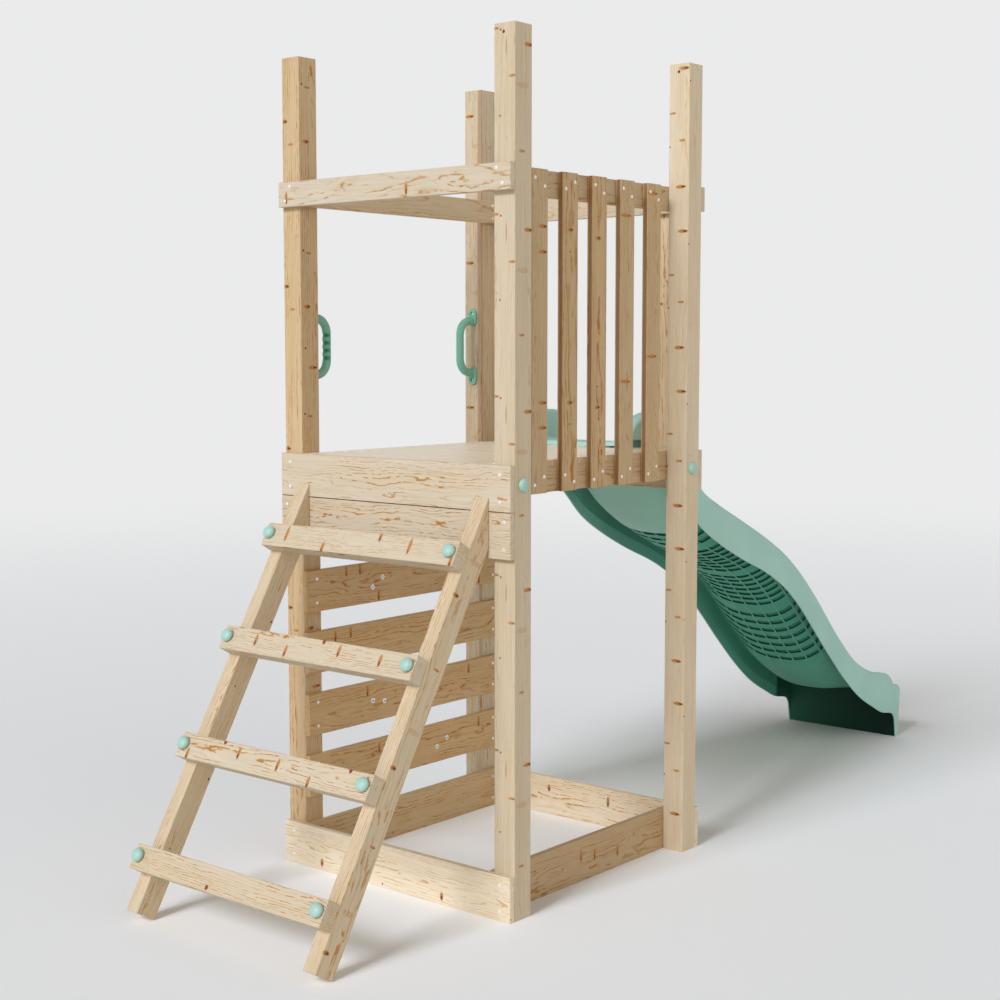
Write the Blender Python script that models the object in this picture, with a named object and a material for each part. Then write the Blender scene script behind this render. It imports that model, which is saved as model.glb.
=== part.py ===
"""Wooden play tower with a ladder, a climbing wall, a slatted fence and a moulded wave slide.

Metres, +Z up. The slide runs down +X, the ladder stands at -X, the fence is on -Y and the
climbing wall on +Y. Every place below is measured from the middle of the tower on the ground,
and one empty carries the whole model so that its origin is at the middle of its footprint.
"""
import math

import bmesh
import bpy
from mathutils import Matrix, Vector

# Fits and edges
GAP = 0.0003
EDGE = 0.0015

# Timber sections
POST = 0.0685
BOARD = 0.018
WIDE = 0.122
NARROW = 0.070
STOCK = 0.044
STOCK_DEEP = 0.068

# Tower
DECK_BOARDS = 7
HALF_X = (DECK_BOARDS * WIDE + (DECK_BOARDS + 1) * GAP) / 2
HALF_Y = 0.4265
POST_TOP = 2.313
DECK_TOP = 1.200
RAIL_TOP = 1.966
INNER_X = HALF_X - POST
INNER_Y = HALF_Y - POST
BEARER_TOP = DECK_TOP - BOARD - GAP
BEARER_BOTTOM = BEARER_TOP - STOCK_DEEP

# Climbing wall, fence and slide guards
WALL_BOARDS = ((0.198, 0.3195), (0.378, 0.500), (0.560, 0.682), (0.740, 0.861), (0.9175, 1.039))
SLATS = 5
SLAT_WIDTH = 0.067
SLAT_PITCH = 0.1311
GUARD_INNER = 0.240

# Ladder
LADDER_SLOPE = math.radians(30.28)
LADDER_FOOT = -1.0203
LADDER_HALF = 0.3555
RUNGS = 4
FIRST_RUNG = 0.135
RUNG_PITCH = 0.3125
RUNG_BOLT_Y = 0.335

# Bolts with round caps
CAP_RADIUS = 0.0185
CAP_HEIGHT = 0.012
CAP_RIM = 0.003
SHANK_RADIUS = 0.004
HOLE_RADIUS = 0.0045
BOLT_LENGTH = 0.110
DECK_BOLT_Z = 1.1475
ROUND_SIDES = 14

# Handles
HANDLE_Z = 1.5035
HANDLE_Y = 0.392
HANDLE_HALF = 0.1215
HANDLE_LEG = 0.082
HANDLE_REACH = 0.077
GRIP_RADIUS = 0.0125
BEND_RADIUS = 0.043
TAB_WIDTH = 0.032
TAB_THICK = 0.008
TAB_INNER = 0.066
SCREW_OFFSET = 0.106
FINGERS = 4
FINGER_PITCH = 0.022
FINGER_DEPTH = 0.0035

# Climbing holds, as board index, x, height and turn
HOLDS = ((0, 0.144, 0.258, 24.0), (1, -0.1415, 0.4375, -9.0), (3, -0.143, 0.800, 31.0))
HOLD_LENGTH = 0.115
HOLD_WIDTH = 0.080
HOLD_DEPTH = 0.042
HOLD_BOLT_SPACING = 0.050
POCKET_RADIUS = 0.008
POCKET_FLOOR = 0.014

# Slide: half widths of its section, thicknesses and slot lattice
SLIDE_HALF = 0.236
SKIN = 0.005
FLOOR_SKIN = 0.0135
WALL_FOOT = 0.176
WALL_HEAD = 0.190
BELLY_WIDTH = 0.12
BELLY_RISE = 0.020
BELLY_POWER = 2.8
RIB_LINES = (0.0, 0.055, 0.110, 0.165)
SLOT_GROUPS = ((0.830, 0.920, 3), (0.986, 1.190, 7), (1.247, 1.398, 7), (1.450, 1.650, 7))
SLOT_LENGTH = 0.016
SLOT_DEPTH = 0.008
RIB_HALF = 0.0023
LATTICE_START = 0.810
LATTICE_END = 1.680
LATTICE_STEP = 0.004
PANEL_REAR = 2.1362
PANEL_ROUND = 2.146
SLIDE_END = 2.154
PANEL_LEAN = 0.05

# Slide: side view lines, as points (x, z) that a smooth curve passes
WALL_TOP = (
    (0.355, 1.246), (0.370, 1.267), (0.411, 1.294), (0.460, 1.305), (0.530, 1.304),
    (0.580, 1.292), (0.630, 1.238), (0.680, 1.150), (0.752, 1.050), (0.843, 1.0008),
    (0.986, 0.9372), (1.147, 0.8640), (1.267, 0.8009), (1.367, 0.7319), (1.470, 0.6449),
    (1.687, 0.4362), (1.800, 0.3469), (1.901, 0.2972), (1.988, 0.2714), (2.054, 0.2602),
    (2.0925, 0.2383), (2.1085, 0.2183), (2.125, 0.2060), (PANEL_ROUND, 0.2005), (SLIDE_END, 0.191),
)
SKIRT_EDGE = (
    (0.355, 1.225), (0.4466, 1.225), (0.470, 1.172), (0.500, 1.140), (0.560, 1.087),
    (0.635, 1.0247), (0.734, 0.936), (0.857, 0.8659), (0.989, 0.8063), (1.150, 0.743),
    (1.271, 0.6798), (1.371, 0.6057), (1.4745, 0.5101), (1.595, 0.3965), (1.720, 0.287),
    (1.834, 0.205), (1.936, 0.152), (2.025, 0.113), (2.099, 0.0976), (2.123, 0.0758),
    (2.133, 0.0248), (PANEL_REAR, 0.0), (SLIDE_END, 0.0),
)
UNDERSIDE = (
    (0.355, DECK_TOP + GAP), (0.448, DECK_TOP + GAP), (0.470, 1.182), (0.500, 1.145),
    (0.560, 1.089), (0.635, 1.0255), (0.734, 0.937), (0.857, 0.867), (0.989, 0.8073),
    (1.150, 0.744), (1.271, 0.681), (1.371, 0.607), (1.4745, 0.511), (1.595, 0.3975),
    (1.720, 0.290), (1.800, 0.240), (1.880, 0.205), (1.960, 0.195), (2.050, 0.188), (2.133, 0.184),
)
BELLY_SHARE = ((0.355, 0.10), (0.450, 0.12), (0.620, 1.0), (1.850, 1.0), (2.100, 0.10), (2.154, 0.04))

MINT = (0.36, 0.62, 0.51)
MINT_DEEP = (0.19, 0.42, 0.32)
SPRUCE = (0.78, 0.62, 0.42)


# Shared building blocks

def clear_scene():
    for old in list(bpy.data.objects):
        bpy.data.objects.remove(old, do_unlink=True)


def finish(name, colour, roughness):
    """A material with the piece's own colour and roughness."""
    material = bpy.data.materials.new(name)
    material.use_nodes = True
    shader = material.node_tree.nodes["Principled BSDF"]
    shader.inputs["Base Color"].default_value = (*colour, 1.0)
    shader.inputs["Roughness"].default_value = roughness
    shader.inputs["Metallic"].default_value = 0.0
    return material


def add_object(name, bm, material, place=(0.0, 0.0, 0.0), parent=None):
    """The bmesh as a named object, outside faces out, at its place under its parent."""
    bmesh.ops.recalc_face_normals(bm, faces=bm.faces)
    mesh = bpy.data.meshes.new(name)
    bm.to_mesh(mesh)
    bm.free()
    mesh.materials.append(material)
    piece = bpy.data.objects.new(name, mesh)
    bpy.context.scene.collection.objects.link(piece)
    piece.location = place
    piece.parent = parent
    return piece


def smooth(piece, degrees=35.0):
    piece.data.shade_smooth()
    piece.data.set_sharp_from_angle(angle=math.radians(degrees))


def ease_edges(piece, width=EDGE):
    bevel = piece.modifiers.new("eased_edges", "BEVEL")
    bevel.width = width
    bevel.segments = 1
    bevel.limit_method = "ANGLE"
    bevel.angle_limit = math.radians(40.0)


def cut(piece, cutter, operation="DIFFERENCE"):
    """A live Boolean of the piece with a guide shape that isn't part of the model."""
    cutter.hide_render = True
    cutter.display_type = "WIRE"
    boolean = piece.modifiers.new(cutter.name, "BOOLEAN")
    boolean.operation = operation
    boolean.solver = "EXACT"
    boolean.object = cutter


def timber(name, x, y, z, parent, colour=SPRUCE):
    """A straight planed timber between the given limits, each a pair (low, high)."""
    bm = bmesh.new()
    bmesh.ops.create_cube(bm, size=1.0)
    bmesh.ops.scale(bm, vec=(x[1] - x[0], y[1] - y[0], z[1] - z[0]), verts=bm.verts)
    middle = ((x[0] + x[1]) / 2, (y[0] + y[1]) / 2, (z[0] + z[1]) / 2)
    piece = add_object(name, bm, finish(name, colour, 0.65), middle, parent)
    ease_edges(piece)
    return piece


def drill(piece, holes, parent):
    """Round clearance holes, each given as a start, a direction and a length."""
    bm = bmesh.new()
    for start, direction, length in holes:
        turn = Vector(direction).to_track_quat("Z", "Y").to_matrix().to_4x4()
        middle = Vector(start) + Vector(direction) * length / 2
        bmesh.ops.create_cone(
            bm, cap_ends=True, segments=ROUND_SIDES, radius1=HOLE_RADIUS, radius2=HOLE_RADIUS,
            depth=length, matrix=Matrix.Translation(middle) @ turn,
        )
    cutter = add_object(piece.name + "_drill", bm, finish("guide", MINT, 0.5), parent=parent)
    cut(piece, cutter)


def loft(bm, rings):
    """Skin closed rings of equal count and cap both ends. Returns the side faces by ring and point."""
    grid = [[bm.verts.new(point) for point in ring] for ring in rings]
    count = len(rings[0])
    faces = []
    for near, far in zip(grid, grid[1:]):
        row = [
            bm.faces.new((near[j], near[(j + 1) % count], far[(j + 1) % count], far[j]))
            for j in range(count)
        ]
        faces.append(row)
    bm.faces.new(grid[0])
    bm.faces.new(grid[-1])
    return faces


def smooth_line(knots, x):
    """Height at x on the curve through the knots, which never swings past a knot."""
    xs = [knot[0] for knot in knots]
    zs = [knot[1] for knot in knots]
    if x <= xs[0]:
        return zs[0]
    if x >= xs[-1]:
        return zs[-1]
    steps = [(zs[i + 1] - zs[i]) / (xs[i + 1] - xs[i]) for i in range(len(xs) - 1)]

    def tangent(i):
        if i == 0 or i == len(xs) - 1:
            return steps[min(i, len(steps) - 1)]
        before, after = steps[i - 1], steps[i]
        if before * after <= 0.0:
            return 0.0
        return 2.0 * before * after / (before + after)

    i = max(j for j in range(len(xs) - 1) if xs[j] <= x)
    span = xs[i + 1] - xs[i]
    t = (x - xs[i]) / span
    start = (1 + 2 * t) * (1 - t) ** 2 * zs[i] + t * (1 - t) ** 2 * span * tangent(i)
    end = t * t * (3 - 2 * t) * zs[i + 1] + t * t * (t - 1) * span * tangent(i + 1)
    return start + end


# Tower frame

def build_posts(tower):
    corners = {
        "post_ladder_wall": (-1, 1), "post_ladder_fence": (-1, -1),
        "post_slide_fence": (1, -1), "post_slide_wall": (1, 1),
    }
    for name, (side_x, side_y) in corners.items():
        x = sorted((side_x * INNER_X, side_x * HALF_X))
        y = sorted((side_y * INNER_Y, side_y * HALF_Y))
        post = timber(name, x, y, (0.0, POST_TOP), tower)
        bolt_x = side_x * (HALF_X - POST / 2)
        drill(post, [((bolt_x, side_y * (INNER_Y - POST), DECK_BOLT_Z), (0, side_y, 0), 3 * POST)], tower)


def outer_boards(tower):
    """Boards across the outer faces of the posts, at the ladder and at the slide."""
    heights = {
        "top_rail_ladder": (-1, RAIL_TOP - NARROW, RAIL_TOP),
        "fascia_ladder_upper": (-1, 1.0790, DECK_TOP),
        "fascia_ladder_lower": (-1, 0.9570, 1.0790 - GAP),
        "ground_board_ladder": (-1, 0.0, WIDE),
        "top_rail_slide": (1, RAIL_TOP - NARROW, RAIL_TOP),
        "fascia_slide": (1, 1.0800, DECK_TOP),
        "ground_board_slide": (1, 0.0, WIDE),
    }
    for name, (side, low, high) in heights.items():
        x = sorted((side * (HALF_X + GAP), side * (HALF_X + GAP + BOARD)))
        timber(name, x, (-HALF_Y, HALF_Y), (low, high), tower)


def inner_boards(tower):
    """Boards along the inner faces of the posts, on the wall side and on the fence side."""
    for side, word in ((1, "wall"), (-1, "fence")):
        y = sorted((side * (INNER_Y - GAP), side * (INNER_Y - GAP - BOARD)))
        timber("top_rail_" + word, (-HALF_X, HALF_X), y, (RAIL_TOP - NARROW, RAIL_TOP), tower)
        timber("ground_board_" + word, (-HALF_X, HALF_X), y, (0.0, WIDE), tower)
        y = sorted((side * (INNER_Y - GAP), side * (INNER_Y - GAP - STOCK)))
        bearer = timber("deck_bearer_" + word, (-HALF_X, HALF_X), y, (BEARER_BOTTOM, BEARER_TOP), tower)
        holes = [
            ((end * (HALF_X - POST / 2), side * (INNER_Y - POST), DECK_BOLT_Z), (0, side, 0), 2 * POST)
            for end in (-1, 1)
        ]
        drill(bearer, holes, tower)
    y = (INNER_Y - GAP - BOARD, INNER_Y - GAP)
    for number, z in enumerate(WALL_BOARDS, start=1):
        timber("wall_board_%d" % number, (-HALF_X, HALF_X), y, z, tower)


def build_deck(tower):
    first = -HALF_X + GAP
    for number in range(DECK_BOARDS):
        low = first + number * (WIDE + GAP)
        y = (-INNER_Y + GAP, INNER_Y - GAP)
        timber("deck_board_%d" % (number + 1), (low, low + WIDE), y, (DECK_TOP - BOARD, DECK_TOP), tower)


def build_fence(tower):
    y = (-INNER_Y - BOARD, -INNER_Y)
    for number in range(SLATS):
        middle = (number - (SLATS - 1) / 2) * SLAT_PITCH
        x = (middle - SLAT_WIDTH / 2, middle + SLAT_WIDTH / 2)
        timber("fence_slat_%d" % (number + 1), x, y, (BEARER_BOTTOM, RAIL_TOP), tower)


def build_guards(tower):
    """The two upright boards that close the tower's face beside the slide."""
    x = (HALF_X + BOARD + 2 * GAP, HALF_X + 2 * BOARD + 2 * GAP)
    for side, word in ((1, "wall"), (-1, "fence")):
        y = sorted((side * GUARD_INNER, side * (GUARD_INNER + WIDE)))
        timber("guard_board_" + word, x, y, (1.0800, RAIL_TOP), tower)


# Bolts with caps

def bolt_mesh():
    """A domed cap on a round shank, turned about Z, with the cap's seat at z = 0."""
    bm = bmesh.new()
    dome = CAP_HEIGHT - CAP_RIM
    steps = 4
    outline = [(0.0, CAP_HEIGHT)]
    for step in range(1, steps + 1):
        angle = step / steps * math.pi / 2
        outline.append((CAP_RADIUS * math.sin(angle), CAP_RIM + dome * math.cos(angle)))
    outline += [(CAP_RADIUS, 0.0), (SHANK_RADIUS, 0.0), (SHANK_RADIUS, -BOLT_LENGTH), (0.0, -BOLT_LENGTH)]
    rim = [bm.verts.new((radius, 0.0, z)) for radius, z in outline]
    edges = [bm.edges.new(pair) for pair in zip(rim, rim[1:])]
    bmesh.ops.spin(
        bm, geom=rim + edges, cent=(0, 0, 0), axis=(0, 0, 1), angle=2 * math.pi,
        steps=ROUND_SIDES, use_merge=True,
    )
    bmesh.ops.remove_doubles(bm, verts=bm.verts, dist=1e-6)
    return bm


def place_bolt(name, seat, direction, tower):
    bolt = add_object(name, bolt_mesh(), finish(name, MINT, 0.35), parent=tower)
    bolt.rotation_mode = "QUATERNION"
    bolt.rotation_quaternion = Vector(direction).to_track_quat("Z", "Y")
    bolt.location = Vector(seat) + Vector(direction) * GAP
    smooth(bolt)


def build_deck_bolts(tower):
    for end, end_word in ((-1, "ladder"), (1, "slide")):
        for side, side_word in ((1, "wall"), (-1, "fence")):
            seat = (end * (HALF_X - POST / 2), side * HALF_Y, DECK_BOLT_Z)
            place_bolt("deck_bolt_%s_%s" % (end_word, side_word), seat, (0, side, 0), tower)


# Ladder

LADDER_UP = Vector((math.sin(LADDER_SLOPE), 0.0, math.cos(LADDER_SLOPE)))
LADDER_OUT = Vector((-math.cos(LADDER_SLOPE), 0.0, math.sin(LADDER_SLOPE)))


def on_ladder(along, out, y=0.0):
    """A point of the ladder, from the back corner of its foot."""
    return Vector((LADDER_FOOT, y, 0.0)) + LADDER_UP * along + LADDER_OUT * out


def build_ladder_rails(tower):
    """Two rails cut square at the foot and plumb at the head, where they meet the fascia."""
    face = -HALF_X - BOARD - 2 * GAP
    head_back = (face - LADDER_FOOT) / LADDER_UP.x
    head_front = (face - LADDER_FOOT - LADDER_OUT.x * STOCK_DEEP) / LADDER_UP.x
    outline = (
        on_ladder(0.0, 0.0), on_ladder(head_back, 0.0),
        on_ladder(head_front, STOCK_DEEP), on_ladder(0.0, STOCK_DEEP),
    )
    for side, word in ((1, "wall"), (-1, "fence")):
        bm = bmesh.new()
        profile = bm.faces.new([bm.verts.new(point) for point in outline])
        pushed = bmesh.ops.extrude_face_region(bm, geom=[profile])["geom"]
        corners = [item for item in pushed if isinstance(item, bmesh.types.BMVert)]
        bmesh.ops.translate(bm, vec=(0.0, STOCK, 0.0), verts=corners)
        near = LADDER_HALF - STOCK if side > 0 else -LADDER_HALF
        name = "ladder_rail_" + word
        rail = add_object(name, bm, finish(name, SPRUCE, 0.65), (0.0, near, 0.0), tower)
        ease_edges(rail)
        holes = [
            (on_ladder(FIRST_RUNG + rung * RUNG_PITCH, -STOCK, side * RUNG_BOLT_Y), LADDER_OUT, 0.2)
            for rung in range(RUNGS)
        ]
        drill(rail, holes, tower)


def build_rungs(tower):
    for rung in range(RUNGS):
        along = FIRST_RUNG + rung * RUNG_PITCH
        half = STOCK_DEEP / 2
        near = STOCK_DEEP + GAP
        name = "ladder_rung_%d" % (rung + 1)
        bm = bmesh.new()
        bmesh.ops.create_cube(bm, size=1.0)
        bmesh.ops.scale(bm, vec=(STOCK, 2 * LADDER_HALF, 2 * half), verts=bm.verts)
        piece = add_object(name, bm, finish(name, SPRUCE, 0.65), on_ladder(along, near + STOCK / 2), tower)
        piece.rotation_euler = (0.0, LADDER_SLOPE, 0.0)
        ease_edges(piece)
        holes = [(on_ladder(along, near - STOCK, side * RUNG_BOLT_Y), LADDER_OUT, 0.15) for side in (1, -1)]
        drill(piece, holes, tower)
        for side, word in ((1, "wall"), (-1, "fence")):
            seat = on_ladder(along, near + STOCK, side * RUNG_BOLT_Y)
            place_bolt("ladder_bolt_%d_%s" % (rung + 1, word), seat, LADDER_OUT, tower)


# Handles

def handle_spine():
    """Points of the grip's centre line with their outward directions, from the lower leg to the upper."""
    reach = HANDLE_REACH - GRIP_RADIUS
    straight = HANDLE_LEG - BEND_RADIUS
    points = [((TAB_THICK / 2, -HANDLE_LEG), (0.0, -1.0))]
    turns = 5
    for step in range(turns + 1):
        angle = step / turns * math.pi / 2
        direction = (math.sin(angle), -math.cos(angle))
        place = (reach - BEND_RADIUS + BEND_RADIUS * direction[0], -straight + BEND_RADIUS * direction[1])
        points.append((place, direction))
    rows = 4 * FINGERS
    for row in range(1, rows):
        points.append(((reach, -straight + 2 * straight * row / rows), (1.0, 0.0)))
    for step in range(turns + 1):
        angle = step / turns * math.pi / 2
        direction = (math.cos(angle), math.sin(angle))
        place = (reach - BEND_RADIUS + BEND_RADIUS * direction[0], straight + BEND_RADIUS * direction[1])
        points.append((place, direction))
    points.append(((TAB_THICK / 2, HANDLE_LEG), (0.0, 1.0)))
    return points


def finger_groove(z):
    """How far the grip's inner side is hollowed at height z."""
    half = FINGERS * FINGER_PITCH / 2
    if abs(z) >= half:
        return 0.0
    return FINGER_DEPTH * (0.5 - 0.5 * math.cos(2 * math.pi * (z + half) / FINGER_PITCH))


def handle_ring(place, direction, sides=10):
    ring = []
    for side in range(sides):
        angle = 2 * math.pi * side / sides
        out = GRIP_RADIUS * math.cos(angle)
        if out < 0.0:
            out *= 1.0 - finger_groove(place[1]) / GRIP_RADIUS
        x = place[0] + direction[0] * out
        z = place[1] + direction[1] * out
        ring.append((x, GRIP_RADIUS * math.sin(angle), z))
    return ring


def handle_tab(side):
    """A rounded plate that lies on the post, from beside the leg to past the screw."""
    bm = bmesh.new()
    radius = TAB_WIDTH / 2
    outline = []
    arc = 6
    for end, centre in ((1, HANDLE_HALF - radius), (-1, TAB_INNER + radius)):
        for step in range(arc + 1):
            angle = (0.0 if end > 0 else math.pi) + math.pi * step / arc
            outline.append((radius * math.cos(angle), side * (centre + radius * math.sin(angle))))
    plate = bm.faces.new([bm.verts.new((GAP, y, z)) for y, z in outline])
    pushed = bmesh.ops.extrude_face_region(bm, geom=[plate])["geom"]
    corners = [item for item in pushed if isinstance(item, bmesh.types.BMVert)]
    bmesh.ops.translate(bm, vec=(TAB_THICK, 0.0, 0.0), verts=corners)
    return bm


def build_handle(name, post_face, facing, tower):
    """A D handle on the post's face, standing off along X as facing says."""
    bm = bmesh.new()
    loft(bm, [handle_ring(place, direction) for place, direction in handle_spine()])
    handle = add_object(name, bm, finish(name, MINT_DEEP, 0.4), (post_face, HANDLE_Y, HANDLE_Z), tower)
    handle.rotation_euler = (0.0, 0.0, 0.0 if facing > 0 else math.pi)
    for side, word in ((-1, "lower"), (1, "upper")):
        guide = finish("guide", MINT_DEEP, 0.4)
        tab = add_object("%s_%s_tab" % (name, word), handle_tab(side), guide, parent=handle)
        cut(handle, tab, "UNION")
    holes = [((-0.01, 0.0, side * SCREW_OFFSET), (1, 0, 0), 0.03) for side in (-1, 1)]
    drill(handle, holes, handle)
    smooth(handle)


# Climbing holds

def build_hold(board, x, z, turn, tower):
    """A rounded grip with a flat back and two bolt pockets, on the outer face of a wall board."""
    bm = bmesh.new()
    sides = 16
    layers = ((0.94, 0.0), (1.0, 0.006), (0.97, 0.020), (0.84, 0.032), (0.60, 0.039), (0.30, HOLD_DEPTH))
    rings = []
    for scale, height in layers:
        ring = []
        for side in range(sides):
            angle = 2 * math.pi * side / sides
            pinch = 1.0 - 0.16 * math.cos(angle) ** 2 * (1.0 if math.sin(angle) < 0.0 else -0.3)
            ring.append((
                scale * HOLD_LENGTH / 2 * math.cos(angle),
                height,
                scale * HOLD_WIDTH / 2 * math.sin(angle) * pinch,
            ))
        rings.append(ring)
    loft(bm, rings)
    name = "climbing_hold_%d" % (board + 1)
    hold = add_object(name, bm, finish(name, MINT, 0.5), (x, INNER_Y, z), tower)
    hold.rotation_euler = (0.0, -math.radians(turn), 0.0)
    pockets = bmesh.new()
    for side in (-1, 1):
        middle = (side * HOLD_BOLT_SPACING / 2, POCKET_FLOOR + HOLD_DEPTH / 2, 0.0)
        bmesh.ops.create_cone(
            pockets, cap_ends=True, segments=12, radius1=POCKET_RADIUS, radius2=POCKET_RADIUS,
            depth=HOLD_DEPTH, matrix=Matrix.Translation(middle) @ Matrix.Rotation(math.pi / 2, 4, "X"),
        )
    cut(hold, add_object(name + "_pockets", pockets, finish("guide", MINT, 0.5), parent=hold))
    smooth(hold, 45.0)


# Slide

def belly(y, x):
    """Rise of the trough's rounded underside at distance y from the middle."""
    return smooth_line(BELLY_SHARE, x) * BELLY_RISE * (abs(y) / BELLY_WIDTH) ** BELLY_POWER


def slide_half_section(x):
    """Half of the slide's section at x: underside from the middle out, skirt, rim, wall and floor."""
    reach = 0.004
    drop = smooth_line(UNDERSIDE, x + reach) - smooth_line(UNDERSIDE, x - reach)
    steep = math.hypot(1.0, drop / (2 * reach))
    share = smooth_line(BELLY_SHARE, x)
    top = smooth_line(WALL_TOP, x)
    edge = smooth_line(SKIRT_EDGE, x)
    under = smooth_line(UNDERSIDE, x)
    floor = under + FLOOR_SKIN * steep
    if LATTICE_START < x < LATTICE_END:
        under += LATTICE_STEP
    highest = top - 0.001
    inside = [(y, under + belly(y, x)) for y in RIB_LINES]
    inside += [
        (WALL_FOOT + 0.004, under + 0.072 * share),
        (WALL_HEAD + 0.006, top - 0.018 * steep),
        (SLIDE_HALF - 0.010, top - 0.014 * steep),
        (SLIDE_HALF - SKIN, edge),
    ]
    if x >= PANEL_REAR:
        inside = [(y, 0.0) for y, _ in inside]
    outside = [
        (SLIDE_HALF, edge),
        (SLIDE_HALF, top - 0.013),
        (SLIDE_HALF - 0.0035, top - 0.004),
        (SLIDE_HALF - 0.012, top),
        (WALL_HEAD + 0.012, top),
        (WALL_HEAD, min(highest, top - 0.010)),
        (WALL_FOOT - 0.004, min(highest, floor + 0.062 * share)),
    ]
    outside += [(y - 0.003, min(highest, floor + belly(y - 0.003, x))) for y in (0.158, 0.110, 0.058)]
    outside.append((0.0, min(highest, floor)))
    return inside, outside


def slide_ring(x):
    """The whole closed section at x, with the end panel leaning out a little at its top."""
    inside, outside = slide_half_section(x)
    right = inside + outside
    left = [(-y, z) for y, z in reversed(outside[:-1])] + [(-y, z) for y, z in reversed(inside[1:])]
    lean = PANEL_LEAN if x >= PANEL_REAR else 0.0
    return [(x + lean * z, y, z) for y, z in right + left]


def slot_stations():
    """Start and end of every row of slots, evenly spaced along the slope in each group."""
    rows = []
    for first, last, count in SLOT_GROUPS:
        fine = 60
        xs = [first + (last - first) * i / fine for i in range(fine + 1)]
        lengths = [0.0]
        for a, b in zip(xs, xs[1:]):
            lengths.append(lengths[-1] + math.hypot(b - a, smooth_line(UNDERSIDE, b) - smooth_line(UNDERSIDE, a)))
        for row in range(count):
            target = lengths[-1] * row / (count - 1)
            i = min(max(j for j in range(fine + 1) if lengths[j] <= target + 1e-9), fine - 1)
            x = xs[i] + (xs[i + 1] - xs[i]) * (target - lengths[i]) / (lengths[i + 1] - lengths[i])
            slope = (smooth_line(UNDERSIDE, x + 0.01) - smooth_line(UNDERSIDE, x - 0.01)) / 0.02
            half = SLOT_LENGTH / 2 / math.hypot(1.0, slope)
            rows.append((x - half, x + half))
    return rows


def slide_stations(rows):
    upper = [0.355, 0.362, 0.375, 0.395, 0.425, 0.448, 0.462, 0.482, 0.510, 0.545, 0.580]
    upper += [0.610, 0.645, 0.690, 0.745, 0.8085, 0.8115]
    lower = [1.6785, 1.6815, 1.730, 1.785, 1.840, 1.895, 1.950, 2.010, 2.054, 2.078]
    lower += [2.097, 2.111, 2.124, 2.133, PANEL_REAR, PANEL_ROUND, SLIDE_END]
    between = [0.953]
    return sorted(upper + lower + between + [x for row in rows for x in row])


def build_slide(tower):
    """A one-piece moulding: a trough with rolled rims, hanging skirts and a slotted underside."""
    rows = slot_stations()
    stations = slide_stations(rows)
    bm = bmesh.new()
    faces = loft(bm, [slide_ring(x) for x in stations])
    starts = {row[0] for row in rows}
    columns = len(RIB_LINES) - 1
    count = len(faces[0])
    slots = []
    for i, x in enumerate(stations[:-1]):
        if x in starts:
            slots += faces[i][:columns] + faces[i][count - columns:]
    bmesh.ops.recalc_face_normals(bm, faces=bm.faces)
    bmesh.ops.inset_individual(bm, faces=slots, thickness=RIB_HALF, depth=-SLOT_DEPTH, use_even_offset=True)
    slide = add_object("slide", bm, finish("slide", MINT, 0.4), parent=tower)
    smooth(slide, 30.0)


def main():
    clear_scene()
    tower = bpy.data.objects.new("tower_middle", None)
    bpy.context.scene.collection.objects.link(tower)
    toe = on_ladder(0.0, STOCK_DEEP).x
    nose = SLIDE_END + PANEL_LEAN * smooth_line(WALL_TOP, SLIDE_END)
    tower.location = (-(toe + nose) / 2, 0.0, 0.0)
    build_posts(tower)
    outer_boards(tower)
    inner_boards(tower)
    build_deck(tower)
    build_fence(tower)
    build_guards(tower)
    build_ladder_rails(tower)
    build_rungs(tower)
    build_deck_bolts(tower)
    build_handle("handle_ladder", -INNER_X, 1, tower)
    build_handle("handle_slide", INNER_X, -1, tower)
    for board, x, z, turn in HOLDS:
        build_hold(board, x, z, turn, tower)
    build_slide(tower)
    bpy.context.view_layer.update()


main()
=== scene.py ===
"""The looks of a wooden play tower with a moulded slide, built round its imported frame.

Metres, +Z up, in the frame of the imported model. Timber nodes stay and get spruce figure, each
cut from its own log. The slide, handles, caps and holds are finished as fine mouldings, and
the screws, plates and bolt ends are added.
"""
import random
from contextlib import contextmanager
from math import atan2, ceil, copysign, cos, hypot, pi, radians, sin

import bmesh
import bpy
from mathutils import Euler, Matrix, Vector


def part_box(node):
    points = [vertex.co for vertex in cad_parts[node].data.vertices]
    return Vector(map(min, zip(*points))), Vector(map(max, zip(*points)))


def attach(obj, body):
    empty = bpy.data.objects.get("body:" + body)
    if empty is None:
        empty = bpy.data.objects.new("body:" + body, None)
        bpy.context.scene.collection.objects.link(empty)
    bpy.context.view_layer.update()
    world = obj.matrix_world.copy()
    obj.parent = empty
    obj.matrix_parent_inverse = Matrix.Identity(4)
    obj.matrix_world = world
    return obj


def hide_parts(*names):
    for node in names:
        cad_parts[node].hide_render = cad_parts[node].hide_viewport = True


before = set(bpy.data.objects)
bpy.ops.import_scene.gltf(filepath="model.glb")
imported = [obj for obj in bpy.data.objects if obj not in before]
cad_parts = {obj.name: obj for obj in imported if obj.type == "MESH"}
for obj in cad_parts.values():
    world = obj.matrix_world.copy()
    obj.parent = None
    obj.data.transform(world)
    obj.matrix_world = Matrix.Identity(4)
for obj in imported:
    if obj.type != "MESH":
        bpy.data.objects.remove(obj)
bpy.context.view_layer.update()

bpy.ops.object.select_all(action="DESELECT")

# Camera: stands in front of the ladder's fence side, a little below the top rail
CAMERA_PLACE = (-4.2304, -3.0999, 1.4966)
CAMERA_YAW = 39.864
CAMERA_PITCH = -5.215
CAMERA_LENS = 59.54

# Stage tones, linear
FLOOR_TONE = (0.985, 0.985, 0.985)
FLOOR_BOUNCE = (0.92, 0.91, 0.86)
FAR_TONE = (0.828, 0.83, 0.832)
AMBIENT = (0.85, 0.82, 0.75)

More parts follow.
